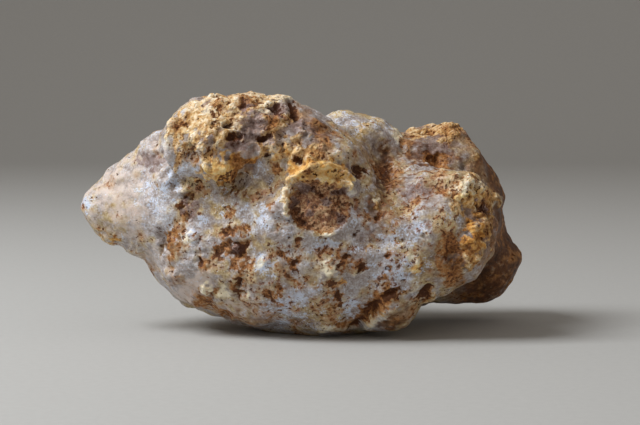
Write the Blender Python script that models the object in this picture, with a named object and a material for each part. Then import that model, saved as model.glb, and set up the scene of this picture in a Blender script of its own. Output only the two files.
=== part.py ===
"""A rough nodule of picacho agate: one natural stone, lying on its worn flat side.

Metres, +Z up, +X along the stone's length, +Y away from the side that is shown.
The origin is on the surface that the stone lies on, under the middle of its box.

The form is a smooth union of lumps, bent by noise. A ball of points is pushed onto that form, and then the
relief is laid on along its normals: dishes and pits go in, knolls, rims and ledges stand out. The tables
below are in millimetres, for a stone of the length that STONE_LENGTH gives.
"""
import bmesh
import bpy
import numpy as np

# Driving dimensions
STONE_LENGTH = 0.0675     # metres, from the pale left tip to the end of the rear lobe
FINISHED_TRIANGLES = 9600

# How softly the lumps run together, and how far they shrink to make up for it (mm)
BLEND = 1.5
SHRINK = 0.4
# Noise that bends the whole form: its wave and its reach (mm)
BEND_WAVE = 8.0
BEND = 0.9
# Broad swells of the form: their height, and the wave and share of each noise in it (mm)
SWELL = 0.5
SWELL_WAVES = [(9.0, 1.0), (4.5, 0.5)]
# Knolls all over: their spacing and height, and the wave and height of the noise between them (mm)
KNOLL_GRAIN = (4.6, 0.9, 3.6, 0.3)
# Crumbs of the crust, in the same order (mm)
CRUMB_GRAIN = (2.2, 0.55, 1.9, 0.25)
# The flat that the stone lies on is worn to this level of the form, and the relief fades out above it (mm)
FLAT_LEVEL = -0.2
WORN = (-1.0, 2.0)

# A point inside the stone, from which all of its skin is seen (mm)
STONE_MIDDLE = np.array([0.0, -1.0, 16.5])

# The lumps that make up the form: name, centre, radii, and a turn about Y in degrees that lifts the right end
LUMPS = [
    ("core", (0, 2, 15.5), (22, 14, 13), 0),
    ("belly", (0, -6, 13.5), (19, 10.5, 12), 0),
    ("foot", (1, -1.5, 7.2), (16.5, 10, 8.4), 0),
    ("knob", (-12, -8.5, 28.5), (9.2, 8.2, 7.2), 6),
    ("crest", (-4.2, -7.5, 28), (7.4, 7, 7.2), 0),
    ("fall of the crest", (1.5, -8, 25), (6.5, 8, 6.6), 0),
    ("boss round the socket", (2.4, -9.5, 20), (7.5, 7.8, 6.5), 0),
    ("left flank", (-17, 0.5, 18.8), (10.8, 11, 10.3), 0),
    ("left brow", (-19.7, -1.5, 25.7), (6, 5.5, 4.6), 30),
    ("left cone", (-25, 0, 18.6), (8, 7, 6.2), 12),
    ("left tip", (-30.6, -0.5, 18.7), (3.2, 2.6, 2.6), 0),
    ("left underside", (-14.4, -1, 11), (8.6, 9, 7), 0),
    ("back bump", (6.2, 1, 27.6), (5.2, 5.5, 5), 0),
    ("second back bump", (11.6, 2, 27.3), (4, 5, 4.8), 0),
    ("back block", (17, 4, 24), (5, 6.5, 6.4), 0),
    ("corner of the block", (22.6, 4, 25.6), (3.7, 5, 5.4), 0),
    ("right brow", (23.4, 4, 21.4), (4.4, 6, 6), 0),
    ("right body", (17, -4, 14.5), (9.5, 12, 9), 0),
    ("right shoulder", (22.4, -9, 18.8), (5, 5.3, 5.2), 0),
    ("right front", (21.3, -8.5, 13), (5.2, 6, 5), 0),
    ("right wall", (25, 6, 16.5), (6, 9, 8.5), 0),
    ("rear lobe", (27.4, 10, 8.8), (6.9, 6.5, 5.9), -8),
    ("slope above the rear lobe", (21.5, 11, 14.5), (8, 7, 8), 0),
    ("under the rear lobe", (17, 8, 7.4), (9, 7, 6), 0),
    ("back", (-3, 9, 16), (19, 9.5, 12), 0),
    ("back foot", (-2, 7, 6.5), (11, 7, 7), 0),
    ("right foot", (11.3, -8.4, 4.5), (4.4, 4.8, 3.9), 0),
]

# The relief is placed by how it looks from in front: across and up on a plane that touches the near side,
# along sight lines from one point (mm).
SIGHT_FROM = np.array([2.2, -256.5, 36.7])
SIGHT_PLANE_Y = -18.0

# Marks on the near side: name, across, up, half width, half height, turn in degrees, depth (mm)
DISHES = [
    ("recess under the knob", -5.4, 24.6, 4.2, 3.0, -10, 0.7),
    ("dish left of the socket", -3.0, 17.5, 2.6, 3.2, 0, 0.5),
    ("dish below the socket", 4.0, 14.6, 2.6, 1.8, 0, 0.5),
    ("dish on the right", 10.8, 15.6, 2.6, 2.2, 30, 0.45),
    ("dish low on the left", -14.0, 12.6, 2.4, 2.4, 0, 0.5),
    ("valley by the back bumps", 11.4, 24.2, 1.7, 5.0, 8, 0.9),
    ("hollow behind the knob's rim", -15.9, 27.0, 1.4, 2.2, 8, 0.9),
    ("brown hollow", -20.0, 14.6, 0.9, 2.6, 12, 0.8),
    ("red hollow", 21.0, 13.3, 1.9, 1.3, 30, 0.8),
    ("hollow in the back block", 18.6, 26.3, 1.6, 1.1, -35, 1.0),
]
PITS = [
    ("knob pit", -10.3, 29.5, 0.8, 0.75, 0, 0.91),
    ("knob pit on the right", -5.9, 29.4, 0.8, 0.75, 0, 0.91),
    ("hole in the crest", -3.9, 33.0, 1.25, 0.95, -35, 1.05),
    ("groove in the crest", -1.4, 32.6, 0.6, 1.9, 24, 0.91),
    ("hollow in the ochre bump", -11.5, 24.8, 0.8, 0.6, 8, 0.5),
    ("pit behind the crest", 7.4, 24.8, 0.95, 1.0, -30, 0.84),
    ("half round pit", -16.4, 21.2, 1.1, 0.95, 0, 0.63),
    ("rust hollow", -9.6, 13.7, 1.9, 1.6, -20, 0.7),
    ("rust hollow, upper part", -10.6, 16.0, 1.1, 0.7, 20, 0.49),
    ("low rust hollow", -5.2, 6.9, 1.2, 0.9, 20, 0.49),
    ("eye pit", 7.9, 10.8, 0.55, 0.8, -8, 0.7),
    ("slot", 16.9, 7.8, 0.6, 1.45, -44, 0.91),
    ("groove, top", 12.2, 7.5, 1.9, 0.6, 28, 0.84),
    ("groove, middle", 9.2, 5.2, 1.9, 0.6, 40, 0.77),
    ("groove, foot", 6.9, 3.2, 1.3, 0.6, 36, 0.63),
    ("dark hole", 25.5, 19.6, 0.8, 1.15, -12, 0.98),
]
KNOLLS = [
    ("ochre bump", -11.8, 25.2, 2.7, 1.8, -8, 1.9),
    ("left end of the ochre bump", -14.8, 27.9, 1.3, 1.5, 0, 0.6),
    ("lump by the knob pit", -4.2, 28.6, 0.8, 1.1, 8, 0.9),
    ("first lump of the chain", -1.8, 27.8, 1.3, 0.8, -40, 0.7),
    ("second lump of the chain", 0.8, 26.3, 0.8, 0.8, -30, 0.7),
    ("lump behind the chain", 5.2, 27.0, 1.4, 0.7, -32, 0.7),
    ("lip of the crest", -2.6, 34.6, 2.0, 0.8, -14, 0.7),
    ("tab under the socket", 3.4, 15.9, 1.4, 0.8, 8, 1.0),
    ("pearl in the rust hollow", -9.6, 13.9, 0.8, 0.7, 25, 1.2),
    ("cream lump", 4.4, 10.2, 1.6, 1.2, 0, 0.6),
    ("ochre step", 15.4, 11.5, 0.9, 1.5, 10, 0.7),
    ("ledge under the groove", 11.4, 4.6, 3.6, 1.2, 34, 0.9),
    ("left end of the ledge", 4.2, 2.6, 3.2, 1.0, 4, 0.6),
    ("rim of the slot", 17.7, 7.1, 0.7, 1.9, -44, 0.7),
    ("crust on the right", 23.8, 15.6, 1.3, 3.2, -6, 0.9),
    ("crust on the shoulder", 22.6, 21.7, 2.4, 1.5, -12, 0.8),
    ("left lobe", -27.4, 15.4, 1.6, 1.2, -30, 0.6),
    ("second left lobe", -24.0, 13.4, 1.6, 1.1, -25, 0.6),
    ("third left lobe", -18.6, 10.0, 1.8, 1.2, -30, 0.7),
    ("fourth left lobe", -15.2, 6.6, 1.8, 1.1, -35, 0.7),
    ("fifth left lobe", -11.6, 3.2, 1.8, 1.0, -35, 0.6),
    ("left shoulder", -22.0, 27.8, 1.6, 1.2, 35, 0.5),
    ("top of the back bump", 5.0, 32.6, 1.8, 1.2, 10, 0.5),
    ("edge of the back block", 16.0, 31.0, 2.6, 0.7, 0, 0.4),
]
# Rims and creases: name, points (across, up), half width, height, which is negative for a crease (mm)
LINES = [
    ("rim of the socket",
     [(-2.4, 18.4), (-2.7, 20.2), (-2.5, 22.0), (-1.6, 23.5), (-0.2, 24.6), (1.4, 25.3)], 0.9, 1.0),
    ("visor of the socket", [(-1.4, 23.2), (0.6, 23.6), (2.4, 23.5), (4.2, 23.1), (5.8, 22.7)], 1.0, 1.0),
    ("top of the visor", [(1.0, 25.3), (3.6, 25.5), (5.4, 24.8), (6.6, 23.6), (6.7, 21.9)], 1.0, 0.9),
    ("rim of the knob", [(-18.3, 31.6), (-18.9, 29.8), (-19.1, 27.9), (-18.6, 25.6), (-17.4, 24.3)], 0.8, 0.8),
    ("edge of the shoulder", [(16.8, 23.2), (19.1, 23.7), (24.0, 23.4), (26.4, 22.1), (27.4, 20.3)], 1.3, 0.7),
    ("right edge", [(25.2, 18.2), (25.5, 15.6), (25.0, 13.0), (22.6, 11.2)], 1.3, 0.8),
    ("line of the crest", [(-0.8, 31.6), (1.2, 29.2), (3.0, 27.4), (5.6, 26.2)], 0.8, 0.4),
    ("crease by the knob",
     [(-19.2, 33.0), (-20.4, 30.0), (-20.6, 27.4), (-19.8, 24.8), (-18.0, 22.9)], 1.5, -1.2),
    ("crease by the right edge", [(28.6, 21.0), (27.6, 17.6), (27.4, 14.4), (26.4, 11.6)], 1.5, -1.0),
    ("foot of the knob",
     [(-17.8, 23.6), (-14.2, 22.9), (-11.6, 22.3), (-9.0, 23.4), (-7.4, 25.2), (-5.4, 26.2)], 1.4, -0.8),
]
# The socket left by a lost crystal: across, up, half width, half height, depth at its middle (mm)
SOCKET = (2.1, 19.6, 4.35, 3.6, 1.15)

# Pits and knolls scattered over the sides that the marks leave out: how many, and their radii and depth (mm)
SCATTERED_PITS = (34, 0.8, 1.9, 1.0)
SCATTERED_KNOLLS = (40, 1.2, 2.6, 0.7)

# Rough ochre crust sits on what stands out: centre and radii of each patch (mm)
CRUSTS = [
    ("on the knob and crest", (-9.5, -8, 31), (9.5, 10, 5.2)),
    ("on the right shoulder", (24.8, -9, 18.5), (3.4, 7, 5.6)),
    ("on the back block", (19.5, 4, 31.2), (6.5, 7, 2.6)),
]


def soft_step(low, high, value):
    """0 below low, 1 above high, and a cubic S between them."""
    t = np.clip((value - low) / (high - low), 0, 1)
    return t * t * (3 - 2 * t)


def lumps(points):
    """Signed distance to the union of the lumps: -B log(sum(exp(-d / B))) over the distances d to each."""
    total = np.zeros(len(points))
    for _, centre, radii, turn in LUMPS:
        offset = points - np.array(centre)
        c, s = np.cos(np.radians(turn)), np.sin(np.radians(turn))
        x, y, z = offset.T
        offset = np.stack([x * c + z * s, y, z * c - x * s], axis=1)
        scaled = np.linalg.norm(offset / radii, axis=1) + 1e-9
        slope = np.linalg.norm(offset / np.square(radii), axis=1) + 1e-9
        distance = scaled * (scaled - 1) / slope
        total += np.exp(-np.clip(distance, -30, 60) / BLEND)
    return SHRINK - BLEND * np.log(total)


def lattice(seed):
    """A shuffled ring of 256 cells and a unit vector for each of them."""
    draw = np.random.default_rng(seed)
    ring = draw.permutation(256)
    vectors = draw.normal(size=(256, 3))
    vectors /= np.linalg.norm(vectors, axis=1, keepdims=True)
    return ring, vectors


def cell_vector(cells, ring, vectors):
    """The unit vector of each lattice cell, picked by hashing its three whole coordinates."""
    x, y, z = (cells & 255).T
    return vectors[ring[(ring[(ring[x] + y) & 255] + z) & 255]]


def noise(points, wave, seed):
    """Gradient noise of the given wave, about -1 to 1: corner vectors times offsets, blended by quintics."""
    ring, vectors = lattice(seed)
    scaled = points / wave
    cells = np.floor(scaled).astype(int)
    inside = scaled - cells
    blend = inside ** 3 * (inside * (inside * 6 - 15) + 10)
    total = np.zeros(len(points))
    for corner in np.ndindex(2, 2, 2):
        weight = np.prod(np.where(corner, blend, 1 - blend), axis=1)
        slope = cell_vector(cells + corner, ring, vectors)
        total += weight * np.sum((inside - corner) * slope, axis=1)
    return total * 1.6


def rounded_cells(points, spacing, seed):
    """Distance, in spacings, to the nearest of a cloud of points that has one point in each lattice cell."""
    ring, vectors = lattice(seed)
    scaled = points / spacing
    cells = np.floor(scaled).astype(int)
    nearest = np.full(len(points), 9.0)
    for step in np.ndindex(3, 3, 3):
        cell = cells + step - 1
        seed_point = cell + 0.5 + 0.48 * cell_vector(cell, ring, vectors)
        nearest = np.minimum(nearest, np.linalg.norm(scaled - seed_point, axis=1))
    return nearest


def form(points):
    """Signed distance to the stone without its relief: the lumps, bent and then roughened by noise."""
    bend = np.stack([noise(points, BEND_WAVE, seed) for seed in (11, 12, 13)], axis=1)
    swell = sum(share * noise(points, wave, 20 + k) for k, (wave, share) in enumerate(SWELL_WAVES))
    return lumps(points + BEND * bend) - SWELL * swell


def ball(side):
    """Six square grids on a cube, pushed out to a sphere, with the shared edge points made one."""
    row = np.tan(np.linspace(-np.pi / 4, np.pi / 4, side + 1))
    u, v = np.meshgrid(row, row, indexing="ij")
    one = np.ones_like(u)
    squares = [(one, u, v), (-one, v, u), (v, one, u), (u, -one, v), (u, v, one), (v, u, -one)]
    points = np.concatenate([np.stack(square, -1).reshape(-1, 3) for square in squares])
    i, j = np.meshgrid(np.arange(side), np.arange(side), indexing="ij")
    first = (i * (side + 1) + j).ravel()
    quads = np.stack([first, first + side + 1, first + side + 2, first + 1], axis=1)
    quads = np.concatenate([quads + k * (side + 1) ** 2 for k in range(6)])
    _, keep, merged = np.unique(np.round(points * 1e6), axis=0, return_index=True, return_inverse=True)
    points = points[keep]
    return points / np.linalg.norm(points, axis=1, keepdims=True), merged.reshape(-1)[quads]


def outward(points, quads):
    """Unit normal at each point: the sum of the crossed diagonals of its quads."""
    cross = np.cross(points[quads[:, 2]] - points[quads[:, 0]], points[quads[:, 3]] - points[quads[:, 1]])
    total = np.zeros_like(points)
    for corner in range(4):
        np.add.at(total, quads[:, corner], cross)
    return total / np.linalg.norm(total, axis=1, keepdims=True)


def even_out(points, quads, rounds, pull):
    """Slide each point along the surface towards the mean of its neighbours, then back onto the form."""
    for _ in range(rounds):
        total = np.zeros_like(points)
        count = np.zeros(len(points))
        for a, b in ((0, 1), (1, 2), (2, 3), (3, 0)):
            np.add.at(total, quads[:, a], points[quads[:, b]])
            np.add.at(total, quads[:, b], points[quads[:, a]])
            np.add.at(count, quads[:, a], 1)
            np.add.at(count, quads[:, b], 1)
        normal = outward(points, quads)
        slide = total / count[:, None] - points
        slide -= normal * np.sum(slide * normal, axis=1, keepdims=True)
        points = points + slide * pull
        points = points - normal * np.clip(form(points), -0.5, 0.5)[:, None]
    return points


def bare_stone(side):
    """Push a ball of points inwards along its rays until each lies on the form."""
    rays, quads = ball(side)
    rays = rays * [1.7, 1.0, 0.9]
    rays /= np.linalg.norm(rays, axis=1, keepdims=True)
    reach = np.full(len(rays), 40.0)
    for _ in range(60):
        reach -= 0.7 * np.clip(form(STONE_MIDDLE + rays * reach[:, None]), -2, 4)
    return even_out(STONE_MIDDLE + rays * reach[:, None], quads, 6, 0.5), quads


def seen_at(points):
    """Across and up on the sight plane, where the sight line through each point crosses it."""
    offset = points - SIGHT_FROM
    share = (SIGHT_PLANE_Y - SIGHT_FROM[1]) / offset[:, 1]
    seen = SIGHT_FROM + offset * share[:, None]
    return seen[:, 0], seen[:, 2]


class NearSide:
    """The points as they are seen from in front, on which marks are laid."""

    def __init__(self, points, normals):
        self.points = points
        self.across, self.up = seen_at(points)
        to_eye = SIGHT_FROM - points
        to_eye /= np.linalg.norm(to_eye, axis=1, keepdims=True)
        self.facing = soft_step(-0.1, 0.25, np.sum(normals * to_eye, axis=1))
        self.wobble = noise(points, 1.8, 31), noise(points, 1.8, 32)

    def near(self, across, up, reach):
        """1 where the surface faces the front and lies within reach of the nearest point seen at the place."""
        beside = np.hypot(self.across - across, self.up - up) + 99 * (self.facing < 0.5)
        depth = self.points[beside < beside.min() + 0.8, 1].min()
        return self.facing * (1 - soft_step(reach, reach + 2.5, np.abs(self.points[:, 1] - depth)))

    def patch(self, across, up, half_width, half_height, turn, wall):
        """1 inside a turned oval with an uneven edge, falling to 0 over the wall's share of its radius."""
        c, s = np.cos(np.radians(turn)), np.sin(np.radians(turn))
        uneven = 0.5 * min(half_width, half_height)
        x = self.across - across + uneven * self.wobble[0]
        y = self.up - up + uneven * self.wobble[1]
        radius = np.hypot((x * c + y * s) / half_width, (y * c - x * s) / half_height)
        reach = 3 + 1.5 * max(half_width, half_height)
        return (1 - soft_step(1 - wall, 1.15, radius)) * self.near(across, up, reach)

    def line(self, places, half_width):
        """1 on a line through the places, falling to 0 at half_width from it."""
        here = np.stack([self.across + 0.25 * self.wobble[0], self.up + 0.25 * self.wobble[1]], axis=1)
        away = np.full(len(here), 99.0)
        for start, end in zip(np.array(places[:-1]), np.array(places[1:])):
            along = end - start
            share = np.clip((here - start) @ along / (along @ along), 0, 1)
            away = np.minimum(away, np.linalg.norm(here - start - share[:, None] * along, axis=1))
        return (1 - soft_step(0.2, 1.0, away / half_width)) * self.near(*places[len(places) // 2], 5)

    def socket(self):
        """1 inside the socket, a rounded square that narrows downwards, and how far its floor leans (0 to 2)."""
        across, up, half_width, half_height, _ = SOCKET
        y = (self.up - up + 0.3 * self.wobble[1]) / half_height
        x = (self.across - across + 0.3 * self.wobble[0]) / half_width / (1 + 0.14 * np.clip(y, -1, 1))
        radius = (np.abs(x) ** 2.6 + np.abs(y) ** 2.6) ** (1 / 2.6)
        inside = (1 - soft_step(0.84, 1.05, radius)) * self.near(across, up, 4)
        return inside, 1 + 0.45 * np.clip(0.55 * y - x, -1.2, 1.4)


def scattered(points, count, smallest, largest, seed):
    """1 in round marks with uneven edges, stretched each its own way, falling to 0 at their radii."""
    draw = np.random.default_rng(seed)
    from_middle = points - STONE_MIDDLE
    from_middle /= np.linalg.norm(from_middle, axis=1, keepdims=True)
    uneven = 1 + 0.35 * noise(points, 1.8, seed)
    most = np.zeros(len(points))
    for ray, stretch in draw.normal(size=(count, 2, 3)):
        radius = draw.uniform(smallest, largest)
        offset = points - points[np.argmax(from_middle @ ray)]
        stretch = stretch / np.linalg.norm(stretch)
        offset = offset - 0.4 * (offset @ stretch)[:, None] * stretch
        away = np.linalg.norm(offset, axis=1) / radius * uneven
        most = np.maximum(most, (1 - soft_step(0.3, 1.0, away)) * radius / largest)
    return most


def crusted(points):
    """1 inside the patches of crust, with an uneven edge."""
    most = np.zeros(len(points))
    for _, centre, radii in CRUSTS:
        radius = np.linalg.norm((points - centre) / radii, axis=1)
        most = np.maximum(most, 1 - soft_step(0.75, 1.2, radius))
    return np.clip(most + 0.35 * noise(points, 5.0, 51) * (most > 0), 0, 1)


def grain(points, sway, seeds, spacing, height, wave, between):
    """Height of rounded cells, moved by the sway, and of noise with the given wave between them."""
    rounded = 0.53 - rounded_cells(points + sway, spacing, seeds[0])
    return height * rounded + between * noise(points, wave, seeds[1])


def relief(points, normals):
    """Height of the relief over the form: knolls all over, crumbs on the crust, then the named marks.

    It fades out underneath, where the stone is worn smooth.
    """
    near_side = NearSide(points, normals)
    inside, lean = near_side.socket()
    sway = 0.8 * np.stack([noise(points, 3.0, seed) for seed in (64, 65, 66)], axis=1)
    knolls = grain(points, sway, (63, 61), *KNOLL_GRAIN)
    crumbs = grain(points, 0, (74, 75), *CRUMB_GRAIN)
    height = knolls * (1 - 0.8 * inside) + crumbs * crusted(points) * (1 - inside)
    height -= inside * lean * SOCKET[4]
    height += inside * (0.3 * noise(points, 1.4, 41) + 0.25 * noise(points, 2.6, 42))
    hidden = 1 - near_side.facing
    for sign, (*scatter, size), seed in ((-1, SCATTERED_PITS, 81), (1, SCATTERED_KNOLLS, 82)):
        height += sign * size * hidden * scattered(points, *scatter, seed)
    for _, *place, depth in DISHES:
        height -= depth * near_side.patch(*place, wall=0.9)
    for _, *place, depth in PITS:
        height -= depth * near_side.patch(*place, wall=0.6)
    for _, *place, rise in KNOLLS:
        height += rise * near_side.patch(*place, wall=0.85)
    for _, places, half_width, rise in LINES:
        height += rise * near_side.line(places, half_width)
    return height * soft_step(*WORN, points[:, 2])


def agate_material():
    """Pale bluish grey chalcedony, half matt where it is frosted."""
    material = bpy.data.materials.new("agate")
    material.use_nodes = True
    surface = material.node_tree.nodes["Principled BSDF"]
    surface.inputs["Base Color"].default_value = (0.42, 0.36, 0.33, 1)
    surface.inputs["Roughness"].default_value = 0.55
    surface.inputs["Metallic"].default_value = 0
    return material


def cut_flat(stone, snap):
    """Cut the stone off at the surface it lies on and close the cut with a flat face.

    Points nearer to that surface than snap are moved onto it first, so that the cut leaves no thin facets.
    """
    shape = bmesh.new()
    shape.from_mesh(stone.data)
    whole = shape.verts[:] + shape.edges[:] + shape.faces[:]
    bmesh.ops.bisect_plane(shape, geom=whole, dist=snap, plane_co=(0, 0, 0), plane_no=(0, 0, 1),
                           use_snap_center=True, clear_inner=True)
    loose = [edge for edge in shape.edges if edge.is_wire]
    bmesh.ops.delete(shape, geom=loose, context="EDGES")
    rim = [edge for edge in shape.edges if edge.is_boundary]
    bmesh.ops.triangle_fill(shape, edges=rim, use_beauty=True, normal=(0, 0, -1))
    bmesh.ops.recalc_face_normals(shape, faces=shape.faces[:])
    shape.to_mesh(stone.data)
    shape.free()


def agate(side):
    """The stone at its real size, thinned to its finished triangles and cut flat where it lies."""
    points, quads = bare_stone(side)
    normals = outward(points, quads)
    points = points + normals * relief(points, normals)[:, None]
    low, high = points.min(axis=0), points.max(axis=0)
    middle = np.array([(low[0] + high[0]) / 2, (low[1] + high[1]) / 2, FLAT_LEVEL])
    points = (points - middle) * (STONE_LENGTH / (high[0] - low[0]))

    mesh = bpy.data.meshes.new("agate")
    mesh.from_pydata(points.tolist(), [], quads.tolist())
    stone = bpy.data.objects.new("agate", mesh)
    bpy.context.scene.collection.objects.link(stone)
    thin = stone.modifiers.new("thin", "DECIMATE")
    thin.ratio = FINISHED_TRIANGLES / (2 * len(quads))

    thinned = stone.evaluated_get(bpy.context.evaluated_depsgraph_get())
    stone.data = bpy.data.meshes.new_from_object(thinned)
    stone.modifiers.remove(thin)
    bpy.data.meshes.remove(mesh)
    cut_flat(stone, snap=0.0002)
    stone.data.name = "agate"
    stone.data.materials.append(agate_material())
    stone.data.shade_smooth()
    return stone


for old in list(bpy.data.objects):
    bpy.data.objects.remove(old)
agate(side=84)
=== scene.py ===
"""A rough nodule of picacho agate on a plain pale floor, seen from in front and a little above."""
import math
from concurrent.futures import ThreadPoolExecutor

import bpy
import numpy as np
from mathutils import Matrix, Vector


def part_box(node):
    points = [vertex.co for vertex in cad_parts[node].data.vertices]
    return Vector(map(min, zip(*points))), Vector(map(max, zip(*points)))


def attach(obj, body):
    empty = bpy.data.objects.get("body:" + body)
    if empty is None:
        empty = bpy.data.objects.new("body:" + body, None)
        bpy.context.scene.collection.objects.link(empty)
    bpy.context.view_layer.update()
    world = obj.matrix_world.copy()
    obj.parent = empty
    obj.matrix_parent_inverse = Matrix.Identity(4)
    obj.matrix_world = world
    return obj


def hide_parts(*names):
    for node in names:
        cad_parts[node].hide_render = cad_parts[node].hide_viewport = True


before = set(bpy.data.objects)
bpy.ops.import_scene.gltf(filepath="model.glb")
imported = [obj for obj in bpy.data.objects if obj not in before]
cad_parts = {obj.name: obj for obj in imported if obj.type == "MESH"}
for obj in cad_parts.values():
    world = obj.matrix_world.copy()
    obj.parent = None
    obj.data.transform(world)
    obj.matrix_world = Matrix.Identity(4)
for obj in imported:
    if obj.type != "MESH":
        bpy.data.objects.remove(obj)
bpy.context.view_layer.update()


# The stone's form. A natural nodule of chalcedony, one piece: a long body with a crusted knob on its upper
# left, a pale pointed left end, a shoulder on the right and a low lobe behind it, lying on a worn flat.
# All its measures are in millimetres of the form, which place() then brings to the stone's real place.
STONE_MIDDLE = np.array([0.0, -1.0, 16.5])
GRID_SIDE = 129
BLEND = 1.5
SHRINK = 0.4
BEND_WAVE = 8.0
BEND = 0.9
SWELL = 0.5
SWELL_WAVES = [(9.0, 1.0), (4.5, 0.5)]
FLAT_LEVEL = -0.2
WORN = (-1.0, 2.0)
RAY_STRETCH = (1.7, 1.0, 0.9)
FIRST_REACH = 40.0
REACH_STEPS = 32
EVENING_STEPS = 6

# name, centre, radii, and a turn about Y in degrees that lifts the right end
LUMPS = [
    ("core", (0, 2, 15.5), (22, 14, 13), 0),
    ("belly", (0, -6, 13.5), (19, 10.5, 12), 0),
    ("foot", (1, -1.5, 7.2), (16.5, 10, 8.4), 0),
    ("knob", (-12, -8.5, 28.5), (9.2, 8.2, 7.2), 6),
    ("crest", (-4.2, -7.5, 28), (7.4, 7, 7.2), 0),
    ("fall of the crest", (1.5, -8, 25), (6.5, 8, 6.6), 0),
    ("boss round the socket", (2.4, -9.5, 20), (7.5, 7.8, 6.5), 0),
    ("left flank", (-17, 0.5, 18.8), (10.8, 11, 10.3), 0),
    ("left brow", (-19.7, -1.5, 25.7), (6, 5.5, 4.6), 30),
    ("left cone", (-25, 0, 18.6), (8, 7, 6.2), 12),
    ("left tip", (-30.6, -0.5, 18.7), (3.2, 2.6, 2.6), 0),
    ("left underside", (-14.4, -1, 11), (8.6, 9, 7), 0),
    ("back bump", (6.2, 1, 27.6), (5.2, 5.5, 5), 0),
    ("second back bump", (11.6, 2, 27.3), (4, 5, 4.8), 0),
    ("back block", (17, 4, 24), (5, 6.5, 6.4), 0),
    ("corner of the block", (22.6, 4, 25.6), (3.7, 5, 5.4), 0),
    ("right brow", (23.4, 4, 21.4), (4.4, 6, 6), 0),
    ("right body", (17, -4, 14.5), (9.5, 12, 9), 0),
    ("right shoulder", (22.4, -9, 18.8), (5, 5.3, 5.2), 0),
    ("right front", (21.3, -8.5, 13), (5.2, 6, 5), 0),
    ("right wall", (25, 6, 16.5), (6, 9, 8.5), 0),
    ("rear lobe", (27.4, 10, 8.8), (6.9, 6.5, 5.9), -8),
    ("slope above the rear lobe", (21.5, 11, 14.5), (8, 7, 8), 0),
    ("under the rear lobe", (17, 8, 7.4), (9, 7, 6), 0),
    ("back", (-3, 9, 16), (19, 9.5, 12), 0),
    ("back foot", (-2, 7, 6.5), (11, 7, 7), 0),
    ("right foot", (11.3, -8.4, 4.5), (4.4, 4.8, 3.9), 0),
]


def soft_step(low, high, value):
    """0 below low, 1 above high, and the cubic t * t * (3 - 2 t) between them."""
    t = np.clip((value - low) / (high - low), 0, 1)
    return t * t * (3 - 2 * t)


def lattice(seed):
    """A shuffled ring of 256 cells and a unit vector for each of them."""
    draw = np.random.default_rng(seed)
    ring = draw.permutation(256)
    vectors = draw.normal(size=(256, 3))
    vectors /= np.linalg.norm(vectors, axis=1, keepdims=True)
    return ring, vectors


def cell_vector(cells, ring, vectors):
    """The unit vector of each lattice cell, picked by hashing its three whole coordinates."""
    x, y, z = (cells & 255).T
    return vectors[ring[(ring[(ring[x] + y) & 255] + z) & 255]]


def noise(points, wave, seed):
    """Gradient noise of the given wave, about -1 to 1: corner vectors times offsets, blended by quintics."""
    ring, vectors = lattice(seed)
    scaled = points / wave
    cells = np.floor(scaled).astype(int)
    inside = scaled - cells
    blend = inside ** 3 * (inside * (inside * 6 - 15) + 10)
    total = np.zeros(len(points))
    for corner in np.ndindex(2, 2, 2):
        weight = np.prod(np.where(corner, blend, 1 - blend), axis=1)
        slope = cell_vector(cells + corner, ring, vectors)
        total += weight * np.sum((inside - corner) * slope, axis=1)
    return total * 1.6


def sways(points, wave, seed):
    """Three noises of one wave, as a vector that moves each point a little."""
    return np.stack([noise(points, wave, seed + k) for k in range(3)], axis=1)


def rounded_cells(points, spacing, seed):
    """A cloud of points, one in each lattice cell: how far the nearest and the second are, and its draw.

    Distances are in spacings. The draw is a number from 0 to 1 that is the same all over one cell.
    """
    ring, vectors = lattice(seed)
    scaled = points / spacing
    cells = np.floor(scaled).astype(int)
    nearest = np.full(len(points), 9.0)
    second = np.full(len(points), 9.0)
    drawn = np.zeros(len(points))
    for step in np.ndindex(3, 3, 3):
        cell = cells + step - 1
        way = cell_vector(cell, ring, vectors)
        away = np.linalg.norm(scaled - (cell + 0.5 + 0.48 * way), axis=1)
        closer = away < nearest
        second = np.where(closer, nearest, np.minimum(second, away))
        drawn = np.where(closer, (way[:, 0] + 1) / 2, drawn)
        nearest = np.minimum(nearest, away)
    return nearest, second, drawn


def form(points):
    """Signed distance to the bare form: -B log(sum(exp(-d / B))) over the lumps' distances d, then swells."""
    moved = points + BEND * sways(points, BEND_WAVE, 11)
    total = np.zeros(len(points))
    for _, centre, radii, turn in LUMPS:
        c, s = np.cos(np.radians(turn)), np.sin(np.radians(turn))
        x, y, z = (moved - centre).T
        offset = np.stack([x * c + z * s, y, z * c - x * s], axis=1)
        scaled = np.linalg.norm(offset / radii, axis=1) + 1e-9
        slope = np.linalg.norm(offset / np.square(radii), axis=1) + 1e-9
        total += np.exp(-np.clip(scaled * (scaled - 1) / slope, -30, 60) / BLEND)
    swell = sum(share * noise(points, wave, 20 + k) for k, (wave, share) in enumerate(SWELL_WAVES))
    return SHRINK - BLEND * np.log(total) - SWELL * swell


def form_at(points):
    """The form's distances, worked out for a few shares of the points side by side."""
    with ThreadPoolExecutor(4) as workers:
        return np.concatenate(list(workers.map(form, np.array_split(points, 16))))


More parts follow.
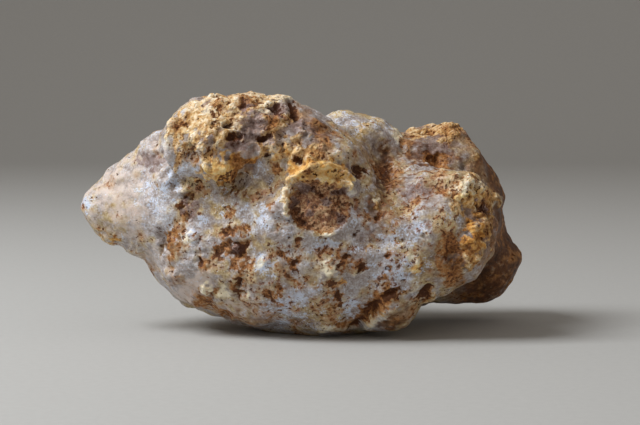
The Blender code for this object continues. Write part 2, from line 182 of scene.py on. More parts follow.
def ball(side):
    """Six square grids on a cube, pushed out to a sphere, with the shared edge points made one."""
    row = np.tan(np.linspace(-np.pi / 4, np.pi / 4, side + 1))
    u, v = np.meshgrid(row, row, indexing="ij")
    one = np.ones_like(u)
    squares = [(one, u, v), (-one, v, u), (v, one, u), (u, -one, v), (u, v, one), (v, u, -one)]
    points = np.concatenate([np.stack(square, -1).reshape(-1, 3) for square in squares])
    i, j = np.meshgrid(np.arange(side), np.arange(side), indexing="ij")
    first = (i * (side + 1) + j).ravel()
    quads = np.stack([first, first + side + 1, first + side + 2, first + 1], axis=1)
    quads = np.concatenate([quads + k * (side + 1) ** 2 for k in range(6)])
    _, keep, merged = np.unique(np.round(points * 1e6), axis=0, return_index=True, return_inverse=True)
    points = points[keep]
    return points / np.linalg.norm(points, axis=1, keepdims=True), merged.reshape(-1)[quads]


def outward(points, quads):
    """Unit normal at each point: the sum of the crossed diagonals of its quads."""
    cross = np.cross(points[quads[:, 2]] - points[quads[:, 0]], points[quads[:, 3]] - points[quads[:, 1]])
    total = np.zeros_like(points)
    for corner in range(4):
        for axis in range(3):
            total[:, axis] += np.bincount(quads[:, corner], cross[:, axis], len(points))
    return total / np.linalg.norm(total, axis=1, keepdims=True)


def mean_beside(values, quads):
    """The mean of each point's neighbours, for values with any number of columns."""
    columns = values.reshape(len(values), -1)
    total = np.zeros_like(columns)
    count = np.zeros(len(values))
    for a, b in ((0, 1), (1, 2), (2, 3), (3, 0)):
        for start, end in ((a, b), (b, a)):
            count += np.bincount(quads[:, start], minlength=len(values))
            for column in range(columns.shape[1]):
                total[:, column] += np.bincount(quads[:, start], columns[quads[:, end], column], len(values))
    return (total / count[:, None]).reshape(values.shape)


def bare_stone(side):
    """A ball of points pushed inwards along its rays until each lies on the form, then evened out on it."""
    rays, quads = ball(side)
    rays = rays * RAY_STRETCH
    rays /= np.linalg.norm(rays, axis=1, keepdims=True)
    reach = np.full(len(rays), FIRST_REACH)
    for _ in range(REACH_STEPS):
        reach -= 0.75 * np.clip(form_at(STONE_MIDDLE + rays * reach[:, None]), -2, 4)
    points = STONE_MIDDLE + rays * reach[:, None]
    for _ in range(EVENING_STEPS):
        normals = outward(points, quads)
        slide = mean_beside(points, quads) - points
        slide -= normals * np.sum(slide * normals, axis=1, keepdims=True)
        points = points + 0.5 * slide
        points = points - normals * np.clip(form_at(points), -0.5, 0.5)[:, None]
    return points, quads


points, quads = bare_stone(GRID_SIDE)
normals = outward(points, quads)


# The stone's relief. Water and lost crystals left pits, dishes and a deep square socket; chalcedony grew in
# knolls, and ochre crust in crumbs, rims and ledges. Marks on the near side are placed as they are seen from
# SIGHT_FROM, across and up on a plane that touches that side.
SIGHT_FROM = np.array([2.2, -256.5, 36.7])
SIGHT_PLANE_Y = -18.0
FRAME_WIDTH, FRAME_HEIGHT = 640, 425
FOCAL_PIXELS = 1696.0
LEVEL_ROW = 86.0
MM_A_PIXEL = (SIGHT_PLANE_Y - SIGHT_FROM[1]) / FOCAL_PIXELS

# name, across, up, half width, half height, turn in degrees, depth
DISHES = [
    ("recess under the knob", -5.4, 24.6, 4.2, 3.0, -10, 0.7),
    ("dish left of the socket", -3.0, 17.5, 2.6, 3.2, 0, 0.5),
    ("dish below the socket", 4.0, 14.6, 2.6, 1.8, 0, 0.5),
    ("dish on the right", 10.8, 15.6, 2.6, 2.2, 30, 0.45),
    ("dish low on the left", -14.0, 12.6, 2.4, 2.4, 0, 0.5),
    ("valley by the back bumps", 11.4, 24.2, 1.7, 5.0, 8, 0.9),
    ("hollow behind the knob's rim", -15.9, 27.0, 1.4, 2.2, 8, 0.9),
    ("brown hollow", -20.0, 14.6, 0.9, 2.6, 12, 0.8),
    ("red hollow", 21.0, 13.3, 1.9, 1.3, 30, 0.8),
    ("hollow in the back block", 18.6, 26.3, 1.6, 1.1, -35, 1.0),
]
PITS = [
    ("knob pit", -10.3, 29.5, 0.8, 0.75, 0, 0.91),
    ("knob pit on the right", -5.9, 29.3, 0.8, 0.75, 0, 0.91),
    ("small knob pit", -8.9, 29.5, 0.4, 0.35, 0, 0.42),
    ("left knob pit", -12.8, 28.9, 0.35, 0.35, 0, 0.35),
    ("upper knob pit", -8.9, 34.0, 0.4, 0.35, 0, 0.42),
    ("rimmed knob pit", -11.8, 33.6, 0.45, 0.3, 20, 0.42),
    ("knob pit by the rimmed one", -13.2, 33.1, 0.35, 0.3, 0, 0.35),
    ("dark cut of the knob", -9.5, 28.4, 0.6, 0.8, -20, 0.42),
    ("hole in the crest", -3.9, 33.4, 1.25, 0.95, -35, 1.05),
    ("groove in the crest", -1.4, 32.9, 0.6, 1.9, 24, 0.91),
    ("cut in the knob", -6.4, 31.4, 0.9, 0.5, -8, 0.49),
    ("hollow in the ochre bump", -11.5, 24.8, 0.8, 0.5, 8, 0.49),
    ("first pit of the chain", -3.0, 28.4, 0.4, 0.5, 0, 0.49),
    ("second pit of the chain", -0.8, 26.2, 0.6, 0.6, 0, 0.63),
    ("pit under the right lump", -5.2, 26.9, 0.5, 0.5, 0, 0.49),
    ("slit by the chain", -0.4, 28.6, 0.3, 0.9, 34, 0.35),
    ("pit behind the crest", 7.6, 24.9, 0.95, 1.0, -30, 0.84),
    ("half round pit", -16.4, 21.2, 1.1, 0.95, 0, 0.63),
    ("pit under the half round one", -16.4, 18.3, 0.5, 0.6, 0, 0.42),
    ("comma pit", -14.9, 11.9, 0.4, 0.75, 24, 0.56),
    ("pit by the tab", -2.2, 17.5, 0.25, 0.25, 0, 0.35),
    ("rust hollow", -9.6, 13.7, 1.9, 1.6, -20, 0.7),
    ("left of the rust hollow", -12.0, 13.4, 0.9, 0.8, 0, 0.49),
    ("upper rust hollow", -10.6, 16.2, 1.1, 0.7, 20, 0.49),
    ("long pit", -9.4, 8.8, 0.45, 1.0, -14, 0.63),
    ("foot of the long pit", -9.1, 7.4, 1.1, 0.5, 10, 0.42),
    ("low rust hollow", -5.2, 6.9, 1.2, 0.9, 20, 0.49),
    ("right of the low rust hollow", -3.6, 8.3, 0.7, 0.7, 0, 0.42),
    ("corner pit", -1.4, 11.9, 0.6, 0.8, -30, 0.49),
    ("upper corner pit", -3.4, 13.1, 0.35, 0.7, 25, 0.35),
    ("pit left of the tab", -0.9, 15.1, 0.5, 0.3, 0, 0.35),
    ("eye pit", 7.9, 10.8, 0.5, 0.8, -8, 0.7),
    ("pit left of the eye", 5.9, 12.6, 0.5, 0.4, 20, 0.49),
    ("low pit left of the eye", 4.6, 11.3, 0.45, 0.4, 20, 0.42),
    ("pit above the eye", 7.3, 15.8, 0.4, 0.5, 0, 0.49),
    ("orange pit", 11.7, 12.7, 0.5, 0.35, 0, 0.42),
    ("low orange pit", 11.8, 11.0, 0.5, 0.4, 0, 0.42),
    ("white rimmed pit", 16.8, 15.6, 0.42, 0.5, 0, 0.49),
    ("left white rimmed pit", 13.7, 14.9, 0.38, 0.38, 0, 0.42),
    ("round pit", 14.6, 20.1, 0.45, 0.4, 0, 0.35),
    ("pit on the right", 13.9, 9.3, 0.25, 0.22, 0, 0.35),
    ("pit by the valley", 10.3, 18.2, 0.5, 0.45, 20, 0.56),
    ("chain of pits", 4.7, 7.4, 0.4, 1.2, 12, 0.56),
    ("top of the chain of pits", 3.9, 9.6, 0.4, 0.6, 30, 0.42),
    ("slot", 16.9, 7.8, 0.55, 1.45, -44, 0.91),
    ("top of the groove", 12.2, 7.5, 1.9, 0.5, 28, 0.84),
    ("middle of the groove", 9.2, 5.2, 1.9, 0.55, 40, 0.77),
    ("foot of the groove", 6.9, 3.2, 1.3, 0.5, 36, 0.63),
    ("dark hole", 25.5, 19.6, 0.75, 1.15, -12, 0.98),
    ("crust pit", 23.9, 21.2, 0.5, 0.4, 20, 0.49),
    ("left crust pit", 22.2, 20.6, 0.45, 0.4, 20, 0.42),
    ("spot on the back block", 22.4, 25.3, 0.6, 0.6, 0, 0.42),
    ("slit by the back block", 13.7, 28.3, 0.6, 1.2, 0, 0.42),
    ("first scallop", -13.2, 6.9, 0.8, 0.6, -30, 0.42),
    ("second scallop", -11.0, 4.6, 1.0, 0.7, -30, 0.49),
]
KNOLLS = [
    ("ochre bump", -11.8, 25.2, 2.7, 1.8, -8, 1.9),
    ("left end of the ochre bump", -14.8, 27.9, 1.3, 1.5, 0, 0.6),
    ("lump by the knob pit", -4.2, 28.4, 0.8, 1.2, 8, 1.0),
    ("lump under the knob pit", -6.4, 27.5, 0.5, 0.9, 20, 0.5),
    ("first lump of the chain", -2.3, 28.0, 0.9, 0.7, -40, 0.7),
    ("second lump of the chain", -1.0, 27.4, 0.8, 0.8, 0, 0.7),
    ("third lump of the chain", 0.8, 26.5, 0.8, 0.8, -30, 0.7),
    ("lump behind the chain", 5.0, 27.0, 1.4, 0.7, -32, 0.7),
    ("lip of the crest", -2.6, 34.9, 2.0, 0.8, -14, 0.7),
    ("lump on the crest", -0.6, 30.2, 0.8, 0.8, 0, 0.5),
    ("tab under the socket", 3.4, 15.9, 1.4, 0.7, 8, 1.0),
    ("pearl in the rust hollow", -9.8, 14.0, 0.75, 0.6, 25, 1.3),
    ("cream lump", 4.0, 10.9, 1.3, 1.4, 0, 0.6),
    ("ochre step", 15.8, 11.4, 0.9, 1.5, 10, 0.7),
    ("white step", 14.5, 12.1, 0.8, 1.1, 10, 0.5),
    ("lump by the valley", 10.1, 20.0, 0.5, 1.0, 10, 0.6),
    ("ledge under the groove", 11.4, 4.6, 3.6, 1.2, 34, 0.9),
    ("left end of the ledge", 4.2, 2.6, 3.2, 1.0, 4, 0.6),
    ("rim of the slot", 17.9, 7.2, 0.6, 1.9, -44, 0.7),
    ("crust on the right", 23.8, 15.6, 1.3, 3.2, -6, 0.9),
    ("low crust on the right", 23.2, 12.2, 1.2, 1.2, 0, 0.6),
    ("crust on the shoulder", 22.6, 21.9, 2.4, 1.4, -12, 0.8),
    ("crust right of the dark hole", 27.0, 20.6, 0.8, 1.5, 20, 0.7),
    ("white spot", -15.9, 15.6, 1.0, 1.0, 0, 0.5),
    ("low white spot", -14.0, 8.0, 0.7, 0.9, 0, 0.6),
    ("white spot on the right", -5.4, 12.0, 1.0, 1.1, 0, 0.4),
    ("left lobe", -27.4, 15.4, 1.6, 1.2, -30, 0.6),
    ("second left lobe", -24.0, 13.4, 1.6, 1.1, -25, 0.6),
    ("third left lobe", -18.6, 10.0, 1.8, 1.2, -30, 0.7),
    ("fourth left lobe", -15.2, 6.6, 1.8, 1.1, -35, 0.7),
    ("fifth left lobe", -11.6, 3.2, 1.8, 1.0, -35, 0.6),
    ("upper left shoulder", -26.4, 24.0, 1.6, 1.2, 35, 0.4),
    ("left shoulder", -22.0, 27.8, 1.6, 1.2, 35, 0.5),
    ("top of the back bump", 5.0, 32.6, 1.8, 1.2, 10, 0.5),
    ("top of the second back bump", 10.6, 31.8, 1.4, 1.2, -10, 0.5),
    ("edge of the back block", 16.0, 31.0, 2.6, 0.7, 0, 0.4),
    ("right edge of the back block", 20.4, 31.0, 1.6, 0.7, 0, 0.4),
]
# name, points (across, up), half width, height, which is negative for a crease
LINES = [
    ("rim of the socket",
     [(-2.4, 18.4), (-2.7, 20.2), (-2.5, 22.0), (-1.6, 23.5), (-0.2, 24.6), (1.4, 25.3)], 0.8, 1.0),
    ("visor of the socket", [(-1.4, 23.2), (0.6, 23.6), (2.4, 23.5), (4.2, 23.1), (5.8, 22.7)], 1.0, 1.0),
    ("top of the visor", [(1.0, 25.3), (3.6, 25.5), (5.4, 24.8), (6.6, 23.6), (6.7, 21.9)], 0.9, 0.9),
    ("rim of the knob",
     [(-18.3, 31.6), (-18.9, 29.8), (-19.1, 27.9), (-18.6, 25.6), (-17.4, 24.3)], 0.7, 0.8),
    ("rim of the half round pit", [(-17.7, 19.9), (-17.6, 21.3), (-16.8, 22.3), (-15.6, 22.4)], 0.5, 0.4),
    ("edge of the shoulder",
     [(16.8, 23.2), (19.1, 23.7), (24.0, 23.4), (26.4, 22.1), (27.4, 20.3)], 1.3, 0.7),
    ("right edge", [(25.2, 18.2), (25.5, 15.6), (25.0, 13.0), (22.6, 11.2)], 1.3, 0.8),
    ("line of the crest", [(-0.8, 31.6), (1.2, 29.2), (3.0, 27.4), (5.6, 26.2)], 0.8, 0.4),
    ("crease by the knob",
     [(-19.2, 33.0), (-20.4, 30.0), (-20.6, 27.4), (-19.8, 24.8), (-18.0, 22.9)], 1.5, -1.2),
    ("crease by the right edge",
     [(28.6, 21.0), (27.6, 17.6), (27.4, 14.4), (26.4, 11.6)], 1.5, -1.0),
    ("foot of the knob",
     [(-17.8, 23.6), (-14.2, 22.9), (-11.6, 22.3), (-9.0, 23.4), (-7.4, 25.2), (-5.4, 26.2)], 1.4, -0.8),
]
# across, up, half width, half height
SOCKET = (2.1, 19.6, 4.35, 3.6)
SOCKET_DEPTH = 1.15
# Pits and knolls of the sides that the marks leave out: how many, smallest and largest radius
SCATTERED_PITS = (34, 0.8, 1.9)
SCATTERED_PIT_DEPTH = 1.0
SCATTERED_KNOLLS = (40, 1.2, 2.6)
SCATTERED_KNOLL_HEIGHT = 0.7
# spacing and height of the knolls all over, and of the rounded grains between them
ROUND_KNOLLS = (4.6, 0.9)
ROUND_GRAINS = (1.25, 0.12)
# spacing, height and the share left as pits, for the crust's large and small crumbs
LARGE_CRUMBS = (1.9, 0.85, 0.22)
SMALL_CRUMBS = (0.95, 0.42, 0.22)
# centre and radii of each patch of crust
CRUSTS = [
    ("on the knob and crest", (-9.5, -8, 31), (9.5, 10, 5.2)),
    ("on the right shoulder", (24.8, -9, 18.5), (3.4, 7, 5.6)),
    ("on the back block", (19.5, 4, 31.2), (6.5, 7, 2.6)),
]


class NearSide:
    """The points as they are seen from in front, on which marks and stains are laid."""

    def __init__(self, points, normals):
        self.points = points
        offset = points - SIGHT_FROM
        share = (SIGHT_PLANE_Y - SIGHT_FROM[1]) / offset[:, 1]
        self.across, _, self.up = (SIGHT_FROM + offset * share[:, None]).T
        to_eye = -offset / np.linalg.norm(offset, axis=1, keepdims=True)
        self.facing = soft_step(-0.1, 0.25, np.sum(normals * to_eye, axis=1))
        self.wobble = [noise(points, 1.0, 31 + k) + 0.5 * noise(points, 0.5, 35 + k) for k in range(2)]

    def near(self, across, up, reach):
        """1 where the surface faces the front, within reach of the nearest point seen at the place."""
        beside = np.hypot(self.across - across, self.up - up) + 99 * (self.facing < 0.5)
        depth = self.points[beside < beside.min() + 0.8, 1].min()
        return self.facing * (1 - soft_step(reach, reach + 2.5, np.abs(self.points[:, 1] - depth)))

    def patch(self, across, up, half_width, half_height, turn, wall, uneven=0.5):
        """1 inside a turned oval with an uneven edge, falling to 0 over the wall's share of its radius."""
        c, s = np.cos(np.radians(turn)), np.sin(np.radians(turn))
        rough = uneven * min(half_width, half_height)
        x = self.across - across + rough * self.wobble[0]
        y = self.up - up + rough * self.wobble[1]
        radius = np.hypot((x * c + y * s) / half_width, (y * c - x * s) / half_height)
        reach = 3 + 1.5 * max(half_width, half_height)
        return (1 - soft_step(1 - wall, 1.15, radius)) * self.near(across, up, reach)

    def line(self, places, half_width):
        """1 on a line through the places, falling to 0 at half_width from it."""
        here = np.stack([self.across + 0.25 * self.wobble[0], self.up + 0.25 * self.wobble[1]], axis=1)
        away = np.full(len(here), 99.0)
        for start, end in zip(np.array(places[:-1]), np.array(places[1:])):
            along = end - start
            share = np.clip((here - start) @ along / (along @ along), 0, 1)
            away = np.minimum(away, np.linalg.norm(here - start - share[:, None] * along, axis=1))
        return (1 - soft_step(0.2, 1.0, away / half_width)) * self.near(*places[len(places) // 2], 5)

    def socket(self):
        """1 inside the socket, a rounded square that narrows downwards, and its floor's lean, 0 to 2."""
        across, up, half_width, half_height = SOCKET
        y = (self.up - up + 0.45 * self.wobble[1]) / half_height
        x = (self.across - across + 0.45 * self.wobble[0]) / half_width / (1 + 0.14 * np.clip(y, -1, 1))
        radius = (np.abs(x) ** 2.6 + np.abs(y) ** 2.6) ** (1 / 2.6)
        inside = (1 - soft_step(0.88, 1.04, radius)) * self.near(across, up, 4)
        return inside, 1 + 0.45 * np.clip(0.55 * y - x, -1.2, 1.4)


def scattered(points, count, smallest, largest, seed):
    """1 in round marks with uneven edges, stretched each its own way, falling to 0 at their radii."""
    draw = np.random.default_rng(seed)
    from_middle = points - STONE_MIDDLE
    from_middle /= np.linalg.norm(from_middle, axis=1, keepdims=True)
    uneven = 1 + 0.35 * noise(points, 1.8, seed)
    most = np.zeros(len(points))
    for ray, stretch in draw.normal(size=(count, 2, 3)):
        radius = draw.uniform(smallest, largest)
        offset = points - points[np.argmax(from_middle @ ray)]
        stretch = stretch / np.linalg.norm(stretch)
        offset = offset - 0.4 * (offset @ stretch)[:, None] * stretch
        away = np.linalg.norm(offset, axis=1) / radius * uneven
        most = np.maximum(most, (1 - soft_step(0.3, 1.0, away)) * radius / largest)
    return most


def crusted(points):
    """1 inside the patches of crust, with an uneven edge."""
    most = np.zeros(len(points))
    for _, centre, radii in CRUSTS:
        radius = np.linalg.norm((points - centre) / radii, axis=1)
        most = np.maximum(most, 1 - soft_step(0.75, 1.2, radius))
    return np.clip(most + 0.35 * noise(points, 5.0, 51) * (most > 0), 0, 1)


near_side = NearSide(points, normals)
crust = crusted(points)
socket, socket_lean = near_side.socket()
hidden = 1 - near_side.facing
scattered_pits = hidden * scattered(points, *SCATTERED_PITS, 81)
scattered_knolls = hidden * scattered(points, *SCATTERED_KNOLLS, 82)

# Knolls all over, and small rounded grains between them
spacing, rise = ROUND_KNOLLS
nearest, _, _ = rounded_cells(points + 0.8 * sways(points, 3.0, 64), spacing, 63)
height = rise * (0.53 - nearest) + 0.3 * noise(points, 3.6, 61) + 0.16 * noise(points, 1.7, 62)
spacing, rise = ROUND_GRAINS
nearest, _, _ = rounded_cells(points + 0.3 * sways(points, 1.2, 55), spacing, 54)
height += rise * (0.5 - nearest) + 0.06 * noise(points, 0.75, 57)
height *= (1 - 0.8 * socket) * (1 - 0.35 * soft_step(-17, -23, points[:, 0]))


def crumbs(spacing, size, pitted, seed):
    """Rounded crumbs with creases between them, some of them gone and left as pits: height, and the pits."""
    moved = points + 0.25 * spacing * sways(points, spacing, seed)
    nearest, second, drawn = rounded_cells(moved, spacing, seed + 4)
    gone = (drawn < pitted) * (1 - soft_step(0.1, 0.5, nearest))
    crease = 1 - soft_step(0, 0.25, second - nearest)
    return size * (0.5 - nearest - 0.3 * crease - 1.2 * gone), gone


# Two sizes of crumbs on the crust, and a rough floor in the socket
large_crumbs, large_gone = crumbs(*LARGE_CRUMBS, 70)
small_crumbs, small_gone = crumbs(*SMALL_CRUMBS, 77)
height += (large_crumbs + small_crumbs) * crust * (1 - socket)
crust_pits = np.maximum(large_gone, small_gone) * crust
uneven = 0.35 * noise(points, 1.4, 41) + 0.25 * noise(points, 2.6, 42) + 0.25 * noise(points, 0.7, 43)
height += socket * uneven
height -= socket * socket_lean * SOCKET_DEPTH
height += SCATTERED_KNOLL_HEIGHT * scattered_knolls - SCATTERED_PIT_DEPTH * scattered_pits
pits = np.zeros(len(points))
rims = np.zeros(len(points))
for _, *place, depth in DISHES:
    height -= depth * near_side.patch(*place, wall=0.9)
for _, *place, depth in PITS:
    mark = near_side.patch(*place, wall=0.6)
    height -= depth * mark
    pits = np.maximum(pits, mark * min(1, 1.4 * depth))
for _, *place, rise in KNOLLS:
    height += rise * near_side.patch(*place, wall=0.85)
for _, places, half_width, rise in LINES:
    mark = near_side.line(places, half_width)
    height += rise * mark * (0.85 + 0.5 * noise(points, 1.5, 33))
    rims = np.maximum(rims, mark * (rise > 0))
height += (small_crumbs + 0.4 * large_crumbs) * rims * (1 - crust) * (1 - socket)
worn = soft_step(*WORN, points[:, 2])
bare_points = points
points = points + normals * (height * worn)[:, None]

# What stands out from its surroundings is above 0 and what lies in a hollow is below it. The colours below
# also use it as painted light and shade: lighter where the surface stands out, darker in hollows.
smoothed = points
for _ in range(10):
    smoothed = mean_beside(smoothed, quads)
stand_out = np.sum((points - smoothed) * outward(smoothed, quads), axis=1)


def place(spots, low, high):
    """From millimetres of the form to the stone's place: its box centred, at its length, on its flat."""
    middle = np.array([(low[0] + high[0]) / 2, (low[1] + high[1]) / 2, FLAT_LEVEL])
    cad_low, cad_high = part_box("agate")
    return (spots - middle) * ((cad_high[0] - cad_low[0]) / (high[0] - low[0]))


form_low, form_high = points.min(axis=0), points.max(axis=0)
placed = place(points, form_low, form_high)
placed[:, 2] = np.maximum(placed[:, 2], 0)

stone_mesh = bpy.data.meshes.new("agate_skin")
stone_mesh.from_pydata(placed.tolist(), [], quads.tolist())
stone_mesh.shade_smooth()
stone = bpy.data.objects.new("agate_skin", stone_mesh)
bpy.context.scene.collection.objects.link(stone)


